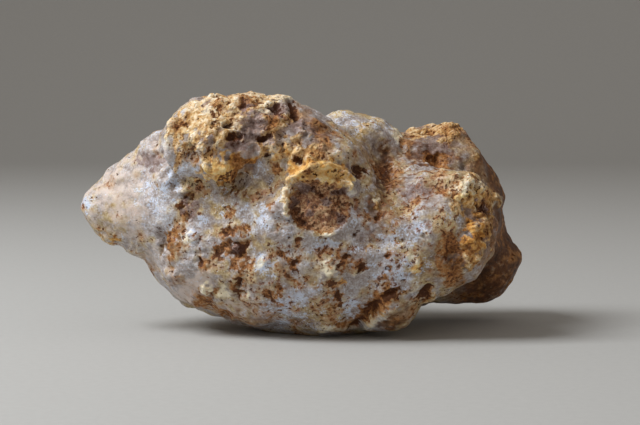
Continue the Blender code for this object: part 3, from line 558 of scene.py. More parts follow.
# The stone's colours. Pale bluish grey chalcedony, khaki where it is clearer and white where it is frosted;
# iron has stained its pits and hollows rust brown, and ochre crust covers what stands out.
# Each stain: column and row where it shows in the frame, half width and half height in pixels, turn, strength
STAINS = {
    "ochre": [
        (262, 95, 42, 7, 2, 0.9), (297, 184, 9, 7, -40, 1.0), (284, 120, 15, 9, 20, 0.8),
        (298, 138, 14, 9, 40, 0.8), (308, 156, 14, 9, 35, 0.9), (200, 122, 30, 26, 0, 0.9),
        (245, 100, 45, 9, -4, 0.8), (220, 167, 21, 14, 8, 1.2), (246, 163, 12, 7, 0, 1.0),
        (176, 145, 3, 30, 4, 0.7), (268, 148, 16, 14, 0, 0.8), (290, 152, 12, 8, 30, 0.8),
        (318, 172, 36, 12, 0, 1.3), (289, 190, 7, 22, -8, 0.9), (347, 182, 6, 12, 0, 1.0),
        (303, 163, 9, 7, 30, 0.8), (336, 158, 9, 5, 30, 0.6), (478, 198, 30, 16, 14, 1.0),
        (474, 240, 13, 24, -8, 0.9), (469, 262, 10, 8, 0, 0.6), (418, 266, 6, 9, 0, 0.9),
        (432, 132, 34, 8, 0, 0.8), (344, 280, 7, 5, 0, 0.8), (376, 206, 4, 8, 0, 0.6),
        (372, 318, 18, 5, 30, 0.5), (100, 234, 6, 4, 0, 0.6), (115, 239, 6, 5, 0, 0.7),
        (198, 181, 6, 5, 0, 0.5), (218, 210, 9, 6, 0, 0.4), (428, 298, 16, 3, 42, 0.6),
        (478, 150, 6, 24, -20, 0.5), (362, 128, 10, 8, 0, 0.4), (323, 233, 12, 4, 0, 0.5),
        (182, 204, 8, 3, 30, 0.5), (367, 250, 3, 10, 0, 0.6), (205, 288, 8, 5, 0, 0.4),
    ],
    "cream": [
        # The first cream patch lies on the socket's visor, which faces down; it is made stronger as painted
        # light, so that the visor reads as lit from above.
        (324, 174, 28, 9, 0, 1.15), (349, 184, 6, 10, 0, 0.8), (465, 192, 16, 10, 0, 1.3),
        (286, 192, 5, 14, -8, 0.5), (474, 191, 28, 11, 10, 0.9), (280, 118, 10, 5, 20, 0.7),
        (215, 112, 34, 12, -15, 0.7), (262, 98, 44, 8, 0, 0.7), (262, 110, 8, 3, 0, 0.8),
        (296, 95, 10, 4, 20, 0.5), (330, 326, 16, 4, 0, 0.6), (225, 98, 20, 4, -8, 0.6),
        (187, 238, 6, 7, 0, 0.8), (262, 262, 4, 7, -20, 0.9), (205, 290, 5, 7, 0, 0.9),
        (223, 292, 5, 8, 0, 0.9), (247, 297, 3, 5, 0, 0.8), (327, 268, 9, 10, 0, 0.8),
        (328, 233, 9, 4, 5, 0.9), (376, 201, 3, 5, 0, 0.9), (414, 262, 5, 10, 10, 0.9),
        (337, 158, 9, 4, 30, 0.8), (372, 322, 12, 4, 20, 0.6), (366, 331, 9, 3, 0, 0.8),
        (192, 130, 8, 12, 0, 0.5), (274, 147, 6, 10, 8, 0.6), (397, 130, 5, 14, 0, 0.9),
        (203, 160, 8, 6, 0, 0.5), (425, 236, 5, 7, 0, 0.6), (470, 190, 8, 5, 0, 0.5),
        (495, 200, 4, 8, 0, 0.4),
    ],
    "white": [
        (82, 203, 9, 9, 0, 1.0), (204, 221, 6, 5, 0, 0.8), (250, 232, 8, 6, 0, 0.7),
        # Painted light: the patch at column 300, row 318 lightens the bottom, which faces down.
        (395, 258, 12, 10, 0, 0.6), (300, 318, 34, 8, 5, 0.7), (345, 310, 14, 9, 0, 1.1),
        (250, 305, 14, 6, 30, 0.5), (158, 200, 20, 30, 0, 0.8), (186, 165, 12, 9, 0, 0.8),
        (155, 213, 5, 6, 0, 1.0), (187, 238, 10, 10, 0, 1.2), (258, 218, 18, 18, 10, 0.8),
        (262, 262, 10, 14, -10, 1.2), (292, 302, 30, 11, 25, 1.5), (414, 227, 16, 9, -20, 1.2),
        # Painted light: the patches at column 392, row 272 and column 300, row 325 lighten the right body and
        # the bottom, which lie in shade.
        (392, 242, 26, 16, 10, 0.8), (392, 272, 22, 20, 0, 1.3), (300, 325, 40, 6, 4, 0.8),
        (414, 258, 7, 12, 0, 0.8), (360, 222, 10, 14, 0, 0.5), (345, 128, 24, 16, 0, 0.5),
        # Painted light: the patch at column 394, row 272 lightens the right body.
        (375, 124, 14, 12, 0, 0.5), (394, 272, 16, 14, 0, 0.6), (328, 246, 14, 10, 0, 1.3),
        (452, 224, 12, 8, 0, 0.5), (210, 195, 14, 10, 0, 0.4), (345, 150, 24, 10, 20, 0.3),
        (230, 205, 20, 14, 0, 0.5),
    ],
    "khaki": [
        (195, 192, 12, 12, 0, 0.9), (217, 211, 12, 9, 0, 0.8), (218, 230, 10, 9, 0, 0.7),
        (272, 240, 16, 12, 0, 0.7), (262, 200, 12, 9, 0, 0.9), (222, 270, 12, 8, 0, 0.7),
        (272, 272, 20, 12, 0, 0.7), (300, 215, 14, 20, 0, 0.4), (335, 245, 9, 8, 0, 0.7),
        (307, 322, 40, 14, 5, 0.9), (385, 190, 16, 40, 10, 1.0), (440, 275, 40, 14, -20, 0.6),
        (398, 318, 12, 22, 10, 0.8), (470, 165, 24, 34, 0, 0.7), (505, 250, 18, 60, 0, 1.0),
        (362, 134, 24, 14, 0, 0.9), (330, 150, 18, 14, 20, 0.9), (242, 162, 14, 12, 0, 0.6),
        (340, 320, 30, 10, 0, 0.6), (430, 190, 26, 10, 0, 0.3), (170, 245, 10, 20, -10, 0.8),
        (105, 222, 22, 22, 0, 0.3), (230, 310, 24, 12, -30, 0.7),
    ],
    "wash": [
        # Partly painted shade: the first patch, at column 240, row 154, lies in the shade under the knob.
        (240, 154, 17, 16, 0, 1.0), (385, 165, 16, 28, 8, 0.9), (379, 214, 18, 22, 10, 0.7),
        (434, 156, 30, 18, -20, 1.1), (290, 296, 54, 20, 0, 0.35), (513, 265, 16, 34, 0, 1.0),
        (490, 260, 16, 44, 0, 1.0), (455, 250, 24, 17, 10, 0.9), (452, 276, 26, 10, -25, 0.9),
        (392, 224, 24, 10, 0, 0.5), (225, 318, 16, 8, -35, 0.8), (200, 300, 22, 8, 38, 0.8),
        (176, 280, 12, 7, 38, 0.7), (262, 320, 18, 10, 0, 0.8), (140, 262, 18, 8, -30, 0.5),
        (378, 305, 30, 10, 32, 0.8), (350, 322, 24, 8, 20, 0.8), (440, 135, 44, 22, 0, 0.7),
        # Partly painted shade: the second patch, at column 470, row 300, lies on the shaded underside at the
        # right.
        (484, 160, 20, 40, -10, 0.9), (470, 300, 40, 18, -20, 0.9), (360, 150, 10, 14, 0, 0.6),
        (350, 262, 22, 14, 0, 0.5), (230, 250, 26, 18, 10, 0.5), (172, 245, 12, 22, -10, 0.6),
        (322, 142, 22, 14, 30, 0.9), (432, 200, 20, 12, 0, 0.5), (262, 199, 10, 8, 0, 0.6),
        (300, 118, 20, 16, 30, 0.9), (288, 268, 14, 12, 0, 0.5), (400, 318, 14, 16, 10, 0.8),
        (425, 192, 28, 12, -10, 0.4), (196, 196, 10, 8, 0, 0.4),
    ],
    "rust": [
        # Partly painted shade: the second patch, at column 243, row 163, lies in the shade under the knob.
        (224, 175, 14, 6, 8, 0.8), (243, 163, 12, 9, 0, 0.9), (277, 170, 8, 7, 0, 0.5),
        (230, 213, 6, 5, 0, 0.8), (229, 232, 9, 7, 20, 1.0), (222, 252, 12, 10, 0, 1.0),
        (242, 262, 11, 12, 0, 1.0), (244, 231, 6, 6, 0, 0.8), (270, 206, 6, 6, 0, 0.7),
        (186, 205, 8, 7, 0, 0.4), (187, 217, 5, 6, 0, 0.8), (170, 236, 8, 8, -10, 0.5),
        (168, 256, 8, 10, 0, 0.5), (202, 265, 5, 7, 24, 0.8), (214, 293, 5, 6, 0, 0.7),
        (238, 290, 7, 12, 0, 0.7), (273, 300, 14, 10, -35, 0.8), (293, 264, 7, 9, -20, 0.8),
        (294, 280, 8, 7, 0, 0.6), (281, 254, 4, 5, 40, 0.7), (345, 262, 11, 9, 0, 0.7),
        (362, 268, 9, 12, 0, 0.5), (388, 257, 6, 4, 0, 0.9), (388, 268, 6, 5, 0, 0.8),
        (384, 277, 4, 4, 0, 0.7), (336, 295, 8, 16, -20, 0.7), (434, 158, 15, 9, -32, 1.0),
        (463, 168, 5, 6, 0, 0.9), (455, 248, 20, 13, 10, 0.9), (452, 274, 20, 8, -25, 0.7),
        (484, 208, 7, 10, 0, 0.9), (378, 305, 30, 9, 32, 0.9), (350, 322, 20, 6, 20, 0.6),
        (425, 293, 8, 6, 42, 0.8), (401, 241, 3, 3, 0, 0.9), (424, 235, 3, 4, 0, 0.9),
        (415, 201, 8, 5, 0, 0.5), (440, 192, 10, 5, -30, 0.6), (248, 104, 10, 8, 0, 0.7),
        (268, 122, 9, 8, 0, 0.7), (120, 240, 10, 5, -30, 0.5), (205, 302, 14, 5, -35, 0.7),
        (225, 318, 14, 6, -35, 0.7), (358, 172, 8, 8, 0, 0.8),
    ],
    "dark": [
        (231, 137, 5, 5, 0, 1.0), (262, 139, 5, 5, 0, 1.0), (241, 138, 6, 5, 30, 0.8),
        (224, 171, 9, 6, 6, 1.0), (244, 104, 3, 3, 0, 0.9), (277, 107, 8, 7, -35, 0.9),
        (294, 110, 3, 11, 24, 0.9), (312, 172, 7, 2.5, -20, 0.5), (334, 171, 5, 2.5, 10, 0.4),
        (284, 145, 3, 3, 0, 0.9), (298, 162, 4, 4, 0, 0.9), (267, 157, 3, 3, 0, 0.9),
        (207, 138, 3, 3, 0, 0.7), (211, 111, 3, 2, 0, 0.8), (197, 184, 2, 2, 0, 1.0),
        (226, 232, 4, 6, 40, 1.0), (216, 256, 5, 5, 0, 0.8), (240, 251, 3, 6, -30, 1.0),
        (200, 264, 2, 5, 24, 1.0), (158, 230, 3, 3, 0, 0.8), (169, 236, 3, 3, 0, 0.9),
        (160, 247, 2, 3, 0, 0.7), (237, 282, 3, 4, 0, 1.0), (237, 293, 6, 4, 0, 0.8),
        (250, 291, 3, 3, 0, 0.7), (288, 222, 2, 2, 0, 1.0), (289, 237, 2, 1.5, 0, 0.9),
        (298, 240, 4, 2.5, 10, 1.0), (270, 244, 3, 2, 30, 1.0), (294, 262, 4, 4, 0, 0.9),
        (296, 269, 3, 4, 0, 0.8), (287, 276, 3, 2, 0, 0.9), (361, 270, 4, 7, -8, 1.0),
        (338, 258, 3, 2, 0, 0.9), (347, 257, 4, 3, 0, 1.0), (338, 266, 5, 2.5, 30, 0.9),
        (357, 234, 3, 4, 0, 0.9), (378, 216, 4, 3, 0, 1.0), (388, 257, 3, 2, 0, 0.7),
        (403, 281, 2, 2, 0, 1.0), (427, 198, 2, 2, 0, 1.0), (331, 284, 3, 4, 30, 1.0),
        (339, 300, 3, 9, 12, 1.0), (392, 297, 10, 4, 28, 0.9), (373, 307, 9, 4, 38, 0.9),
        (358, 322, 8, 3, 30, 0.8), (425, 292, 4, 9, -44, 1.0), (485, 208, 5, 8, -12, 1.0),
        (425, 153, 8, 5, -30, 0.7), (484, 140, 3, 12, -20, 0.5), (360, 172, 5, 5, 0, 1.0),
        (449, 262, 4, 4, 0, 0.8), (462, 250, 4, 4, 0, 0.6), (385, 170, 4, 8, 0, 0.7),
        (273, 299, 3, 4, 0, 0.7), (180, 206, 3, 5, 0, 0.8), (246, 218, 2, 2, 0, 0.7),
        (468, 197, 3, 2, 0, 0.7), (478, 188, 3, 2, 0, 0.7),
    ],
    "golden": [
        (222, 168, 20, 13, 8, 1.2), (246, 163, 14, 8, 0, 1.2), (418, 268, 5, 8, 0, 1.0),
        (344, 282, 6, 5, 0, 1.0), (470, 238, 16, 24, -8, 1.0), (472, 197, 26, 11, 8, 0.9),
        (318, 172, 36, 13, 0, 1.3), (350, 184, 6, 10, 0, 1.1), (290, 152, 10, 6, 30, 0.7),
        (432, 132, 34, 9, 0, 0.2), (274, 153, 6, 9, 0, 0.6), (288, 196, 4, 16, -8, 0.5),
        (198, 182, 6, 4, 0, 0.5), (217, 112, 18, 7, 0, 0.4), (300, 100, 20, 8, 20, 0.5),
        (345, 125, 10, 8, 0, 0.4), (115, 238, 7, 5, 0, 0.8), (384, 205, 4, 7, 0, 0.9),
        (372, 312, 14, 4, 35, 0.6), (302, 256, 6, 8, 0, 0.4), (478, 220, 10, 14, 0, 0.4),
    ],
    "amber": [
        # Partly painted shade: the second patch lies in the shade under the knob, and the third, at column
        # 388, row 324, on the stone's shaded lower edge.
        (223, 171, 11, 7, 8, 1.0), (243, 163, 14, 9, 0, 1.0), (388, 324, 16, 8, 0, 1.0),
        # Partly painted shade: the first patch, at column 478, row 292, lies on the shaded underside at the
        # right.
        (478, 292, 20, 12, 0, 0.8), (386, 166, 12, 24, 4, 0.9), (516, 268, 14, 34, 0, 1.2),
        # Partly painted shade: the first patch, at column 492, row 300, lies on the shaded underside, and the
        # third, at column 248, row 170, under the knob.
        (492, 300, 20, 24, 0, 0.9), (438, 160, 15, 9, -32, 0.9), (248, 170, 12, 7, 0, 0.8),
        (372, 205, 12, 12, 0, 0.7), (452, 262, 22, 10, -10, 0.8), (474, 236, 12, 22, -8, 0.4),
        (378, 300, 26, 7, 34, 0.7), (170, 246, 9, 18, -8, 0.8), (484, 150, 6, 30, -20, 0.8),
        (240, 318, 20, 7, -30, 0.5), (308, 325, 34, 6, 0, 0.6), (345, 128, 8, 8, 0, 0.5),
        (318, 128, 16, 14, 30, 0.8), (294, 112, 7, 12, 24, 0.7), (277, 107, 9, 8, -35, 0.6),
        (395, 186, 12, 10, 0, 0.6), (500, 235, 12, 32, 0, 1.0), (430, 156, 32, 18, -10, 0.9),
        (480, 204, 10, 10, 0, 0.5), (294, 266, 8, 12, -20, 0.6), (237, 285, 8, 12, 10, 0.6),
    ],
    "violet": [
        (190, 209, 10, 10, 0, 1.0), (358, 206, 10, 14, 0, 0.5), (369, 238, 12, 16, 10, 0.5),
        (304, 187, 13, 4, -8, 0.9), (292, 201, 4, 10, 0, 0.9), (327, 202, 9, 6, 0, 0.8),
        (309, 215, 7, 4, 0, 0.8), (341, 192, 9, 4, 0, 0.9), (341, 219, 5, 10, 0, 0.8),
        (150, 161, 15, 11, 30, 0.9), (238, 146, 12, 7, 0, 1.0), (234, 249, 7, 6, 20, 1.0),
        (268, 141, 7, 7, 0, 0.7), (247, 106, 8, 7, 0, 0.7), (256, 121, 16, 10, 0, 1.0),
        (250, 133, 16, 7, 0, 0.8), (488, 205, 8, 10, 0, 0.7), (436, 148, 16, 8, -20, 0.5),
        (298, 128, 12, 12, 30, 0.6), (352, 172, 10, 10, 0, 0.6), (414, 190, 22, 9, 0, 0.7),
        (280, 108, 12, 10, -30, 0.8), (208, 140, 8, 6, 0, 0.5),
    ],
    "freckles": [
        (405, 208, 52, 30, 10, 1.2), (440, 240, 34, 16, -10, 0.9), (350, 260, 32, 20, 0, 0.8),
        (290, 245, 24, 20, 0, 0.7), (238, 196, 24, 12, 0, 0.8), (200, 225, 24, 20, 0, 0.6),
        (400, 270, 24, 16, 0, 0.8), (270, 290, 40, 18, 20, 0.8), (330, 300, 40, 14, 0, 0.6),
    ],
    "pink": [
        (118, 190, 34, 34, 0, 0.8), (150, 160, 22, 20, 0, 0.6), (130, 225, 26, 24, 0, 0.6),
        (248, 160, 16, 14, 0, 0.5), (155, 262, 22, 14, 0, 0.5), (190, 288, 30, 12, 38, 0.9),
        (232, 312, 24, 10, 20, 0.8),
    ],
}


def stained(kind, wall):
    """The strongest of a kind's patches at each point, each a turned oval in the frame."""
    most = np.zeros(len(points))
    for column, row, half_width, half_height, turn, strength in STAINS[kind]:
        across = SIGHT_FROM[0] + (column - FRAME_WIDTH / 2) * MM_A_PIXEL
        up = SIGHT_FROM[2] - (row - LEVEL_ROW) * MM_A_PIXEL
        size = half_width * MM_A_PIXEL * (1 + wall / 3), half_height * MM_A_PIXEL * (1 + wall / 3)
        most = np.maximum(most, strength * near_side.patch(across, up, *size, turn, wall, uneven=0.7))
    return most


# How much of each finish there is at each point, 0 to 1. The right end is stained brown all round, and noise
# stands in for stains on the hidden sides.
hidden_crust = soft_step(0.25, 0.9, noise(bare_points, 7.0, 91) + 1.2 * stand_out) * hidden
hidden_wash = soft_step(-0.1, 0.8, noise(bare_points, 6.0, 92)) * hidden
right_end = soft_step(20, 31, points[:, 0] + 0.4 * points[:, 1] + 6 * noise(bare_points, 6.0, 93))
right_end *= 1 - 0.6 * soft_step(7, 14, points[:, 1])
marks = {
    "ochre": np.maximum.reduce([stained("ochre", 0.8), 0.55 * crust, hidden_crust]),
    "cream": stained("cream", 0.8),
    "white": stained("white", 1.0),
    "khaki": np.maximum(stained("khaki", 1.0), 0.4 * hidden),
    "wash": np.maximum.reduce([stained("wash", 1.0), hidden_wash, 0.9 * crust, right_end]),
    "golden": stained("golden", 0.9),
    "amber": np.maximum(stained("amber", 1.0), 0.9 * right_end),
    "rust": np.maximum.reduce([stained("rust", 0.7), socket, 0.7 * pits, 0.9 * scattered_pits]),
    "dark": np.maximum.reduce([stained("dark", 0.7), 0.5 * pits ** 3, 0.7 * crust_pits,
                               0.8 * scattered_pits ** 3]),
    "pink": stained("pink", 1.0),
    "violet": stained("violet", 0.8),
    "freckles": stained("freckles", 1.0),
    "socket": socket,
    "stand_out": stand_out,
}
for name, values in marks.items():
    attribute = stone_mesh.attributes.new(name, "FLOAT", "POINT")
    attribute.data.foreach_set("value", np.asarray(values, np.float32))


def paint(red, green, blue):
    """A colour given as a screen shows it, 0 to 255, as the light that it reflects."""
    return tuple(((v / 255 + 0.055) / 1.055) ** 2.4 for v in (red, green, blue)) + (1.0,)


class Value:
    """What a node gives, as something to calculate with: each operation adds a Math node to the finish."""

    def __init__(self, finish, socket):
        self.finish = finish
        self.socket = socket

    def __add__(self, other):
        return self.finish.math("ADD", self, other)

    def __sub__(self, other):
        return self.finish.math("SUBTRACT", self, other)

    def __rsub__(self, other):
        return self.finish.math("SUBTRACT", other, self)

    def __mul__(self, other):
        return self.finish.math("MULTIPLY", self, other)

    __radd__ = __add__
    __rmul__ = __mul__


class Finish:
    """One material's nodes."""

    def __init__(self, name):
        self.material = bpy.data.materials.new(name)
        self.material.use_nodes = True
        self.tree = self.material.node_tree
        self.tree.nodes.clear()

    def node(self, kind, settings, values, output=0):
        """A node of a kind: its settings first, then the value or link of each of its sockets."""
        made = self.tree.nodes.new(kind)
        for name, setting in settings.items():
            if name == "stops":
                for k, (position, colour) in enumerate(setting):
                    stop = made.color_ramp.elements[k] if k < 2 else made.color_ramp.elements.new(position)
                    stop.position = position
                    stop.color = colour
            else:
                setattr(made, name, setting)
        for name, value in values.items():
            if isinstance(value, Value):
                self.tree.links.new(value.socket, made.inputs[name])
            else:
                made.inputs[name].default_value = value
        return Value(self, made.outputs[output])

    def math(self, operation, *values):
        """A Math node's result for values or plain numbers."""
        return self.node("ShaderNodeMath", {"operation": operation}, dict(enumerate(values)))

    def step(self, low, high, value):
        """0 below low and 1 above high, with an S between them."""
        ends = {"From Min": low, "From Max": high, "Value": value}
        return self.node("ShaderNodeMapRange", {"interpolation_type": "SMOOTHSTEP"}, ends)

    def mix(self, share, first, second, way="MIX"):
        """A colour between two colours, or one laid over the other in the given way."""
        settings = {"data_type": "RGBA", "blend_type": way}
        return self.node("ShaderNodeMix", settings, {0: share, 6: first, 7: second}, output=2)

    def mark(self, name):
        """The value of one of the mesh's own attributes."""
        return self.node("ShaderNodeAttribute", {"attribute_name": name}, {}, output=2)

    def moved(self, where, push):
        """A place moved by a push in millimetres, along all three axes alike if it is one value."""
        return self.node("ShaderNodeVectorMath", {"operation": "ADD"}, {0: where, 1: push})

    def grain(self, where, apart, wave, detail=2.0, rough=0.5):
        """Noise with the given wave in millimetres, about -0.3 to 0.3, read that far apart from where."""
        place = self.moved(where, (apart, apart, apart))
        values = {"Vector": place, "Scale": 1 / wave, "Detail": detail, "Roughness": rough}
        return self.node("ShaderNodeTexNoise", {}, values) - 0.5

    def ramp(self, value, *stops):
        """Paints that run into each other. Each stop: its value, then the paint's red, green and blue."""
        stops = [(at, paint(*colour)) for at, *colour in stops]
        return self.node("ShaderNodeValToRGB", {"stops": stops}, {"Fac": value})

    def crumbs(self, where, spacing):
        """Domes packed side by side, about 1 at their tops and 0 between them."""
        return 1 - self.node("ShaderNodeTexVoronoi", {}, {"Vector": where, "Scale": 1 / spacing}) * 1.3

    def spots(self, where, spacing, share, size):
        """1 in small round spots, in the given share of cells of the given spacing in millimetres."""
        values = {"Vector": where, "Scale": 1 / spacing}
        away = self.node("ShaderNodeTexVoronoi", {}, values)
        cell = self.tree.nodes[-1].outputs["Color"]
        drawn = self.node("ShaderNodeSeparateColor", {}, {0: Value(self, cell)})
        return self.step(size, size * 0.6, away) * self.step(share, share - 0.06, drawn)

    def give(self, mesh, surface):
        """Puts the surface into the material and the material on the mesh."""
        shown = self.tree.nodes.new("ShaderNodeOutputMaterial")
        self.tree.links.new(surface.socket, shown.inputs["Surface"])
        mesh.materials.append(self.material)


finish = Finish("agate")
coordinates = finish.node("ShaderNodeTexCoord", {}, {}, output=3)
where = finish.node("ShaderNodeVectorMath", {"operation": "SCALE"}, {0: coordinates, "Scale": 1000.0})
broad = finish.grain(where, 0, 6.0, 1.0)
clusters = finish.grain(where, 11, 2.8, 1.0)
blotches = finish.grain(where, 23, 1.5, 2.0, 0.45)
clouds = finish.grain(where, 83, 1.9, 2.0, 0.5)
rusty = finish.grain(where, 31, 0.85, 3.0, 0.55)
small = finish.grain(where, 43, 0.6, 1.5)
dots = finish.grain(where, 59, 0.5, 1.5)
fine = finish.grain(where, 67, 0.28, 1.0)
crumb = finish.crumbs(finish.moved(where, small * 0.6), 0.8)
stand = finish.mark("stand_out")
ochre_mark = finish.mark("ochre")
golden_mark = finish.mark("golden")
cream_mark = finish.mark("cream")
rust_mark = finish.mark("rust")
freckles_mark = finish.mark("freckles")
dark_mark = finish.mark("dark")
socket_mark = finish.mark("socket")
wash_mark = finish.mark("wash")
amber_mark = finish.mark("amber")
khaki_mark = finish.mark("khaki")
white_mark = finish.mark("white")
pink_mark = finish.mark("pink")
violet_mark = finish.mark("violet")

# Chalcedony: lavender grey where it is clouded, khaki where it is clear, and bluish white where it is frosted
# Painted light and shade: the tone is lighter where the surface stands out and darker in hollows.
tone = 0.65 + clusters * 0.6 + blotches * 0.6 + small * 0.4 + fine * 0.55 + stand * 0.3
tone = tone + white_mark * 0.1 - wash_mark * 0.08
cool = finish.ramp(tone, (0.0, 88, 66, 52), (0.35, 136, 122, 115), (0.55, 167, 157, 154),
                   (0.75, 197, 197, 204), (1.0, 234, 241, 253))
warm = finish.ramp(tone, (0.0, 76, 48, 16), (0.35, 128, 99, 57), (0.55, 161, 134, 89),
                   (0.75, 193, 172, 129), (1.0, 231, 218, 186))
khaki = blotches * 0.8 + clusters * 0.9 + broad * 0.6 + khaki_mark * 0.3
khaki = khaki - white_mark * 0.12 - pink_mark * 0.12 + 0.04
khaki = finish.step(-0.12, 0.26, khaki)
body = finish.mix(khaki, cool, warm)
pink = finish.step(0.05, 0.8, pink_mark + clusters + small * 0.4)
body = finish.mix(pink * 0.85, body, paint(209, 193, 183))
frost = clouds + rusty * 0.3 + fine * 0.8 + white_mark * 0.36 - wash_mark * 0.1 - pink_mark * 0.1
frost = finish.step(0.14, 0.4, frost)
body = finish.mix(frost * 0.85, body, paint(209, 220, 240))

# Brown washed into its hollows, amber where it is deepest. Both are lighter where the surface stands out and
# darker in hollows, painted light and shade besides the stain.
shade = 0.54 + clusters * 0.5 + rusty * 0.6 + small * 0.5 + fine * 0.3 + stand * 0.35 - amber_mark * 0.3
brown = finish.ramp(shade, (0.0, 66, 38, 20), (0.35, 112, 79, 56), (0.55, 148, 113, 88),
                    (0.75, 180, 150, 127), (1.0, 212, 190, 173))
amber = finish.ramp(shade, (0.0, 48, 22, 2), (0.35, 104, 58, 18), (0.55, 146, 90, 38),
                    (0.75, 188, 130, 64), (1.0, 222, 176, 112))
washed = finish.step(0.0, 0.7, wash_mark + clusters + blotches)
body = finish.mix(washed * 0.75, body, brown)
deep = finish.step(0.15, 0.8, amber_mark + blotches * 0.8 + clusters * 0.6)
body = finish.mix(deep * 0.85, body, amber)
cream = finish.step(0.1, 0.9, cream_mark + blotches * 0.8 + small * 0.8 + stand * 0.4)
body = finish.mix(cream * 0.85, body, paint(243, 233, 204))

# Ochre crust: cream on its crumbs, ochre on their sides and brown between them, and golden where it is thick.
# Cream on the crumbs' tops and brown between them follow their height, painted light and shade over the
# crust's own colours.
crust_tone = 0.44 + rusty + small * 0.9 + fine * 0.4 + crumb * 0.14 + stand * 0.4
# Cream patches lighten the crust's tone; on the socket's visor that is painted light.
crust_tone = crust_tone + cream_mark * 0.32 + golden_mark * 0.06 - amber_mark * 0.3
ochre = finish.ramp(crust_tone, (0.0, 76, 44, 20), (0.2, 124, 84, 44), (0.4, 182, 136, 78),
                    (0.58, 214, 180, 128), (0.76, 232, 210, 174), (1.0, 244, 236, 218))
golden = finish.ramp(crust_tone, (0.0, 66, 36, 8), (0.2, 120, 74, 24), (0.4, 184, 122, 46),
                     (0.58, 214, 156, 74), (0.76, 232, 186, 106), (1.0, 244, 216, 156))
ochre = finish.mix(finish.step(0.2, 0.9, golden_mark + clusters + blotches * 0.8), ochre, golden)
ochre_edge = ochre_mark + clusters * 0.9 + blotches * 0.9 + small * 0.4 + stand * 0.5
ochre_edge = finish.step(0.28, 0.62, ochre_edge)
body = finish.mix(ochre_edge * 0.94, body, ochre)

# Rust: an ochre halo and brown in it, in clusters that are stronger where it is stained, and the socket's
# reddish floor
rust_help = wash_mark * 0.06 - pink_mark * 0.16
halo = finish.step(0.04, 0.4, rusty * 0.6 + clusters + rust_mark * 0.4 + rust_help)
body = finish.mix(halo * 0.7, body, paint(180, 136, 76))
tint = finish.step(0.06, 0.34, rusty * 0.9 + clusters * 0.8 + rust_mark * 0.25 + rust_help)
body = finish.mix(tint * 0.7, body, paint(172, 124, 82))
# Painted light and shade: the rust's tone is lighter where the surface stands out and darker in hollows.
rust_tone = 0.52 + small * 0.8 + fine * 0.7 + stand * 0.4 + clusters * 0.3 + blotches * 0.3
rust_tone = rust_tone + socket_mark * (0.3 + blotches * 0.8 + rusty + fine * 0.5)
rust = finish.ramp(rust_tone, (0.0, 54, 26, 4), (0.35, 108, 63, 24), (0.55, 152, 98, 48),
                   (0.75, 186, 134, 80), (1.0, 220, 180, 130))
socket_red = finish.ramp(rust_tone, (0.0, 40, 24, 20), (0.35, 82, 52, 42), (0.55, 130, 84, 58),
                        (0.75, 160, 110, 76), (1.0, 206, 170, 132))
rust = finish.mix(socket_mark, rust, socket_red)
rust_edge = dots * 0.7 + rusty * 0.6 + clusters * 0.6 + rust_mark * 0.32 + rust_help - stand * 0.1
rust_edge = rust_edge + dark_mark * 0.22 + socket_mark * 0.2
rust_edge = finish.step(0.12, 0.24, rust_edge)
body = finish.mix(rust_edge * 0.88, body, rust)

# Mauve grey, where the crust has come off
# Painted light and shade: the mauve grey is lighter where the surface stands out and darker in hollows.
violet_tone = 0.45 + small * 0.5 + fine * 0.5 + blotches * 0.4 + stand * 0.3
violet = finish.ramp(violet_tone, (0.0, 72, 50, 42), (0.35, 116, 92, 84), (0.6, 154, 136, 136),
                     (1.0, 214, 204, 212))
body = finish.mix(finish.step(0.2, 0.7, violet_mark + rusty * 1.2) * 0.85, body, violet)

# Dark flecks, freckles with a brown ring, and painted glints: small white specks that stand in for light
# glinting on small crystals
flecks = dots + clusters * 0.5 + fine * 0.3 + rust_mark * 0.08 + dark_mark * 0.36
flecks = flecks - stand * 0.1 - pink_mark * 0.16
dark = finish.step(0.15, 0.26, flecks)
body = finish.mix(dark * 0.88, body, paint(74, 34, 4))
freckled = finish.step(0.1, 0.3, freckles_mark * 0.5 + clusters + blotches * 0.6)
bent = finish.moved(where, rusty * 1.4 + fine * 0.8)
body = finish.mix(finish.spots(bent, 0.85, 0.9, 0.52) * freckled * 0.75, body, paint(152, 94, 48))
body = finish.mix(finish.spots(bent, 0.85, 0.9, 0.32) * freckled * 0.9, body, paint(74, 38, 14))
# Painted highlight: white specks where light would glint on small crystals.
painted_glints = finish.spots(where, 0.34, 0.3, 0.38) * finish.step(0.2, 0.7, white_mark + small * 1.5)
body = finish.mix(painted_glints * 0.6, body, paint(244, 246, 252))

# Crust and rust are dry and crumbly, and bare chalcedony is waxy, with a little light in it
rough = 0.52 + ochre_edge * 0.3 + rust_edge * 0.2 + amber_mark * 0.2 - painted_glints * 0.2 + fine * 0.4
crumbly = finish.math("MAXIMUM", ochre_edge * (1 - golden_mark * 0.5), socket_mark)
relief = (small * 0.1 + fine * 0.07 + rusty * 0.07) * (1 - pink_mark * 0.6)
relief = relief + (crumb * 0.2 + small * 0.35) * crumbly
relief = relief - rust_edge * 0.05 - dark * 0.06
bump = finish.node("ShaderNodeBump", {}, {"Height": relief, "Strength": 1.0, "Distance": 0.001})
wet = (1 - crumbly) * (1 - rust_edge) * (1 - pink_mark) * 0.15
values = {"Base Color": body, "Roughness": rough, "Normal": bump, "IOR": 1.54, "Specular IOR Level": 0.35,
          "Coat Weight": wet, "Coat Roughness": 0.22,
          "Subsurface Weight": 0.2, "Subsurface Radius": (1.0, 0.7, 0.5), "Subsurface Scale": 0.001}
finish.give(stone_mesh, finish.node("ShaderNodeBsdfPrincipled", {}, values))

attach(stone, "root")
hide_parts("agate")


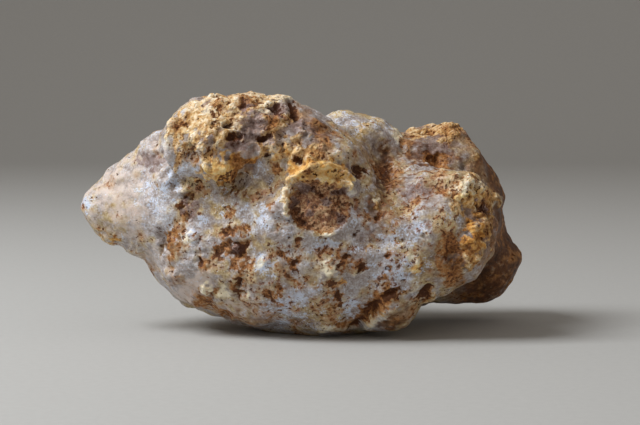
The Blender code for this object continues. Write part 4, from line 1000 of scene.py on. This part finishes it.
# The floor. One pale matt sheet of paper that lies flat under the stone and sweeps up behind it, as the
# backdrop of a studio does. Its measures are in metres.
FLOOR_HALF_WIDTH = 1.6
FLOOR_FRONT = -0.9
SWEEP_START = 0.55
SWEEP_RADIUS = 0.5
SWEEP_TOP = 1.1
FLOOR_PAINT = paint(174, 175, 174)
FIBRE_PAINT = paint(182, 183, 182)
FIBRE_SCALE = 900.0

turn = np.linspace(0, np.pi / 2, 24)
profile = np.stack([SWEEP_START + SWEEP_RADIUS * np.sin(turn), SWEEP_RADIUS * (1 - np.cos(turn))], axis=1)
profile = np.concatenate([[(FLOOR_FRONT, 0)], profile, [(SWEEP_START + SWEEP_RADIUS, SWEEP_TOP)]])
left = np.column_stack([np.full(len(profile), -FLOOR_HALF_WIDTH), profile])
right = left * [-1, 1, 1]
start = np.arange(len(profile) - 1)
strips = np.stack([start, start + len(profile), start + len(profile) + 1, start + 1], axis=1)
floor_mesh = bpy.data.meshes.new("floor")
floor_mesh.from_pydata(np.concatenate([left, right]).tolist(), [], strips.tolist())
floor_mesh.shade_smooth()
floor = bpy.data.objects.new("floor", floor_mesh)
bpy.context.scene.collection.objects.link(floor)
paper = Finish("floor_paper")
coordinates = paper.node("ShaderNodeTexCoord", {}, {}, output=3)
fibres = paper.node("ShaderNodeTexNoise", {}, {"Vector": coordinates, "Scale": FIBRE_SCALE, "Detail": 2.0})
values = {"Base Color": paper.mix(fibres, FLOOR_PAINT, FIBRE_PAINT), "Roughness": 0.8}
paper.give(floor_mesh, paper.node("ShaderNodeBsdfPrincipled", {}, values))


# Light and camera. One large soft light on the upper left and an even pale surround, as in a light tent.
KEY_SPOT = (-0.28, -0.10, 0.36)
KEY_SIZE = 0.22
KEY_POWER = 2.25
KEY_COLOUR = (0.98, 0.99, 1.0)
STONE_CENTRE = (0, 0, 0.016)
SURROUND_COLOUR = (0.98, 0.89, 0.80, 1)
SURROUND_STRENGTH = 0.35
SENSOR_WIDTH = 36

light = bpy.data.lights.new("key_light", "AREA")
light.size = KEY_SIZE
light.energy = KEY_POWER
light.color = KEY_COLOUR
lamp = bpy.data.objects.new("key_light", light)
lamp.location = KEY_SPOT
lamp.rotation_euler = (Vector(STONE_CENTRE) - Vector(KEY_SPOT)).to_track_quat("-Z", "Y").to_euler()
bpy.context.scene.collection.objects.link(lamp)

world = bpy.data.worlds.new("surround")
world.use_nodes = True
world.node_tree.nodes["Background"].inputs["Color"].default_value = SURROUND_COLOUR
world.node_tree.nodes["Background"].inputs["Strength"].default_value = SURROUND_STRENGTH
bpy.context.scene.world = world

camera = bpy.data.cameras.new("camera")
camera.sensor_width = SENSOR_WIDTH
camera.lens = SENSOR_WIDTH * FOCAL_PIXELS / FRAME_WIDTH
camera.clip_start = 0.01
pitch = math.atan((FRAME_HEIGHT / 2 - LEVEL_ROW) / FOCAL_PIXELS)
eye = bpy.data.objects.new("camera", camera)
eye.location = place(SIGHT_FROM, form_low, form_high)
eye.rotation_euler = (math.pi / 2 - pitch, 0, 0)
bpy.context.scene.collection.objects.link(eye)
bpy.context.scene.camera = eye
bpy.context.scene.view_settings.view_transform = "Standard"
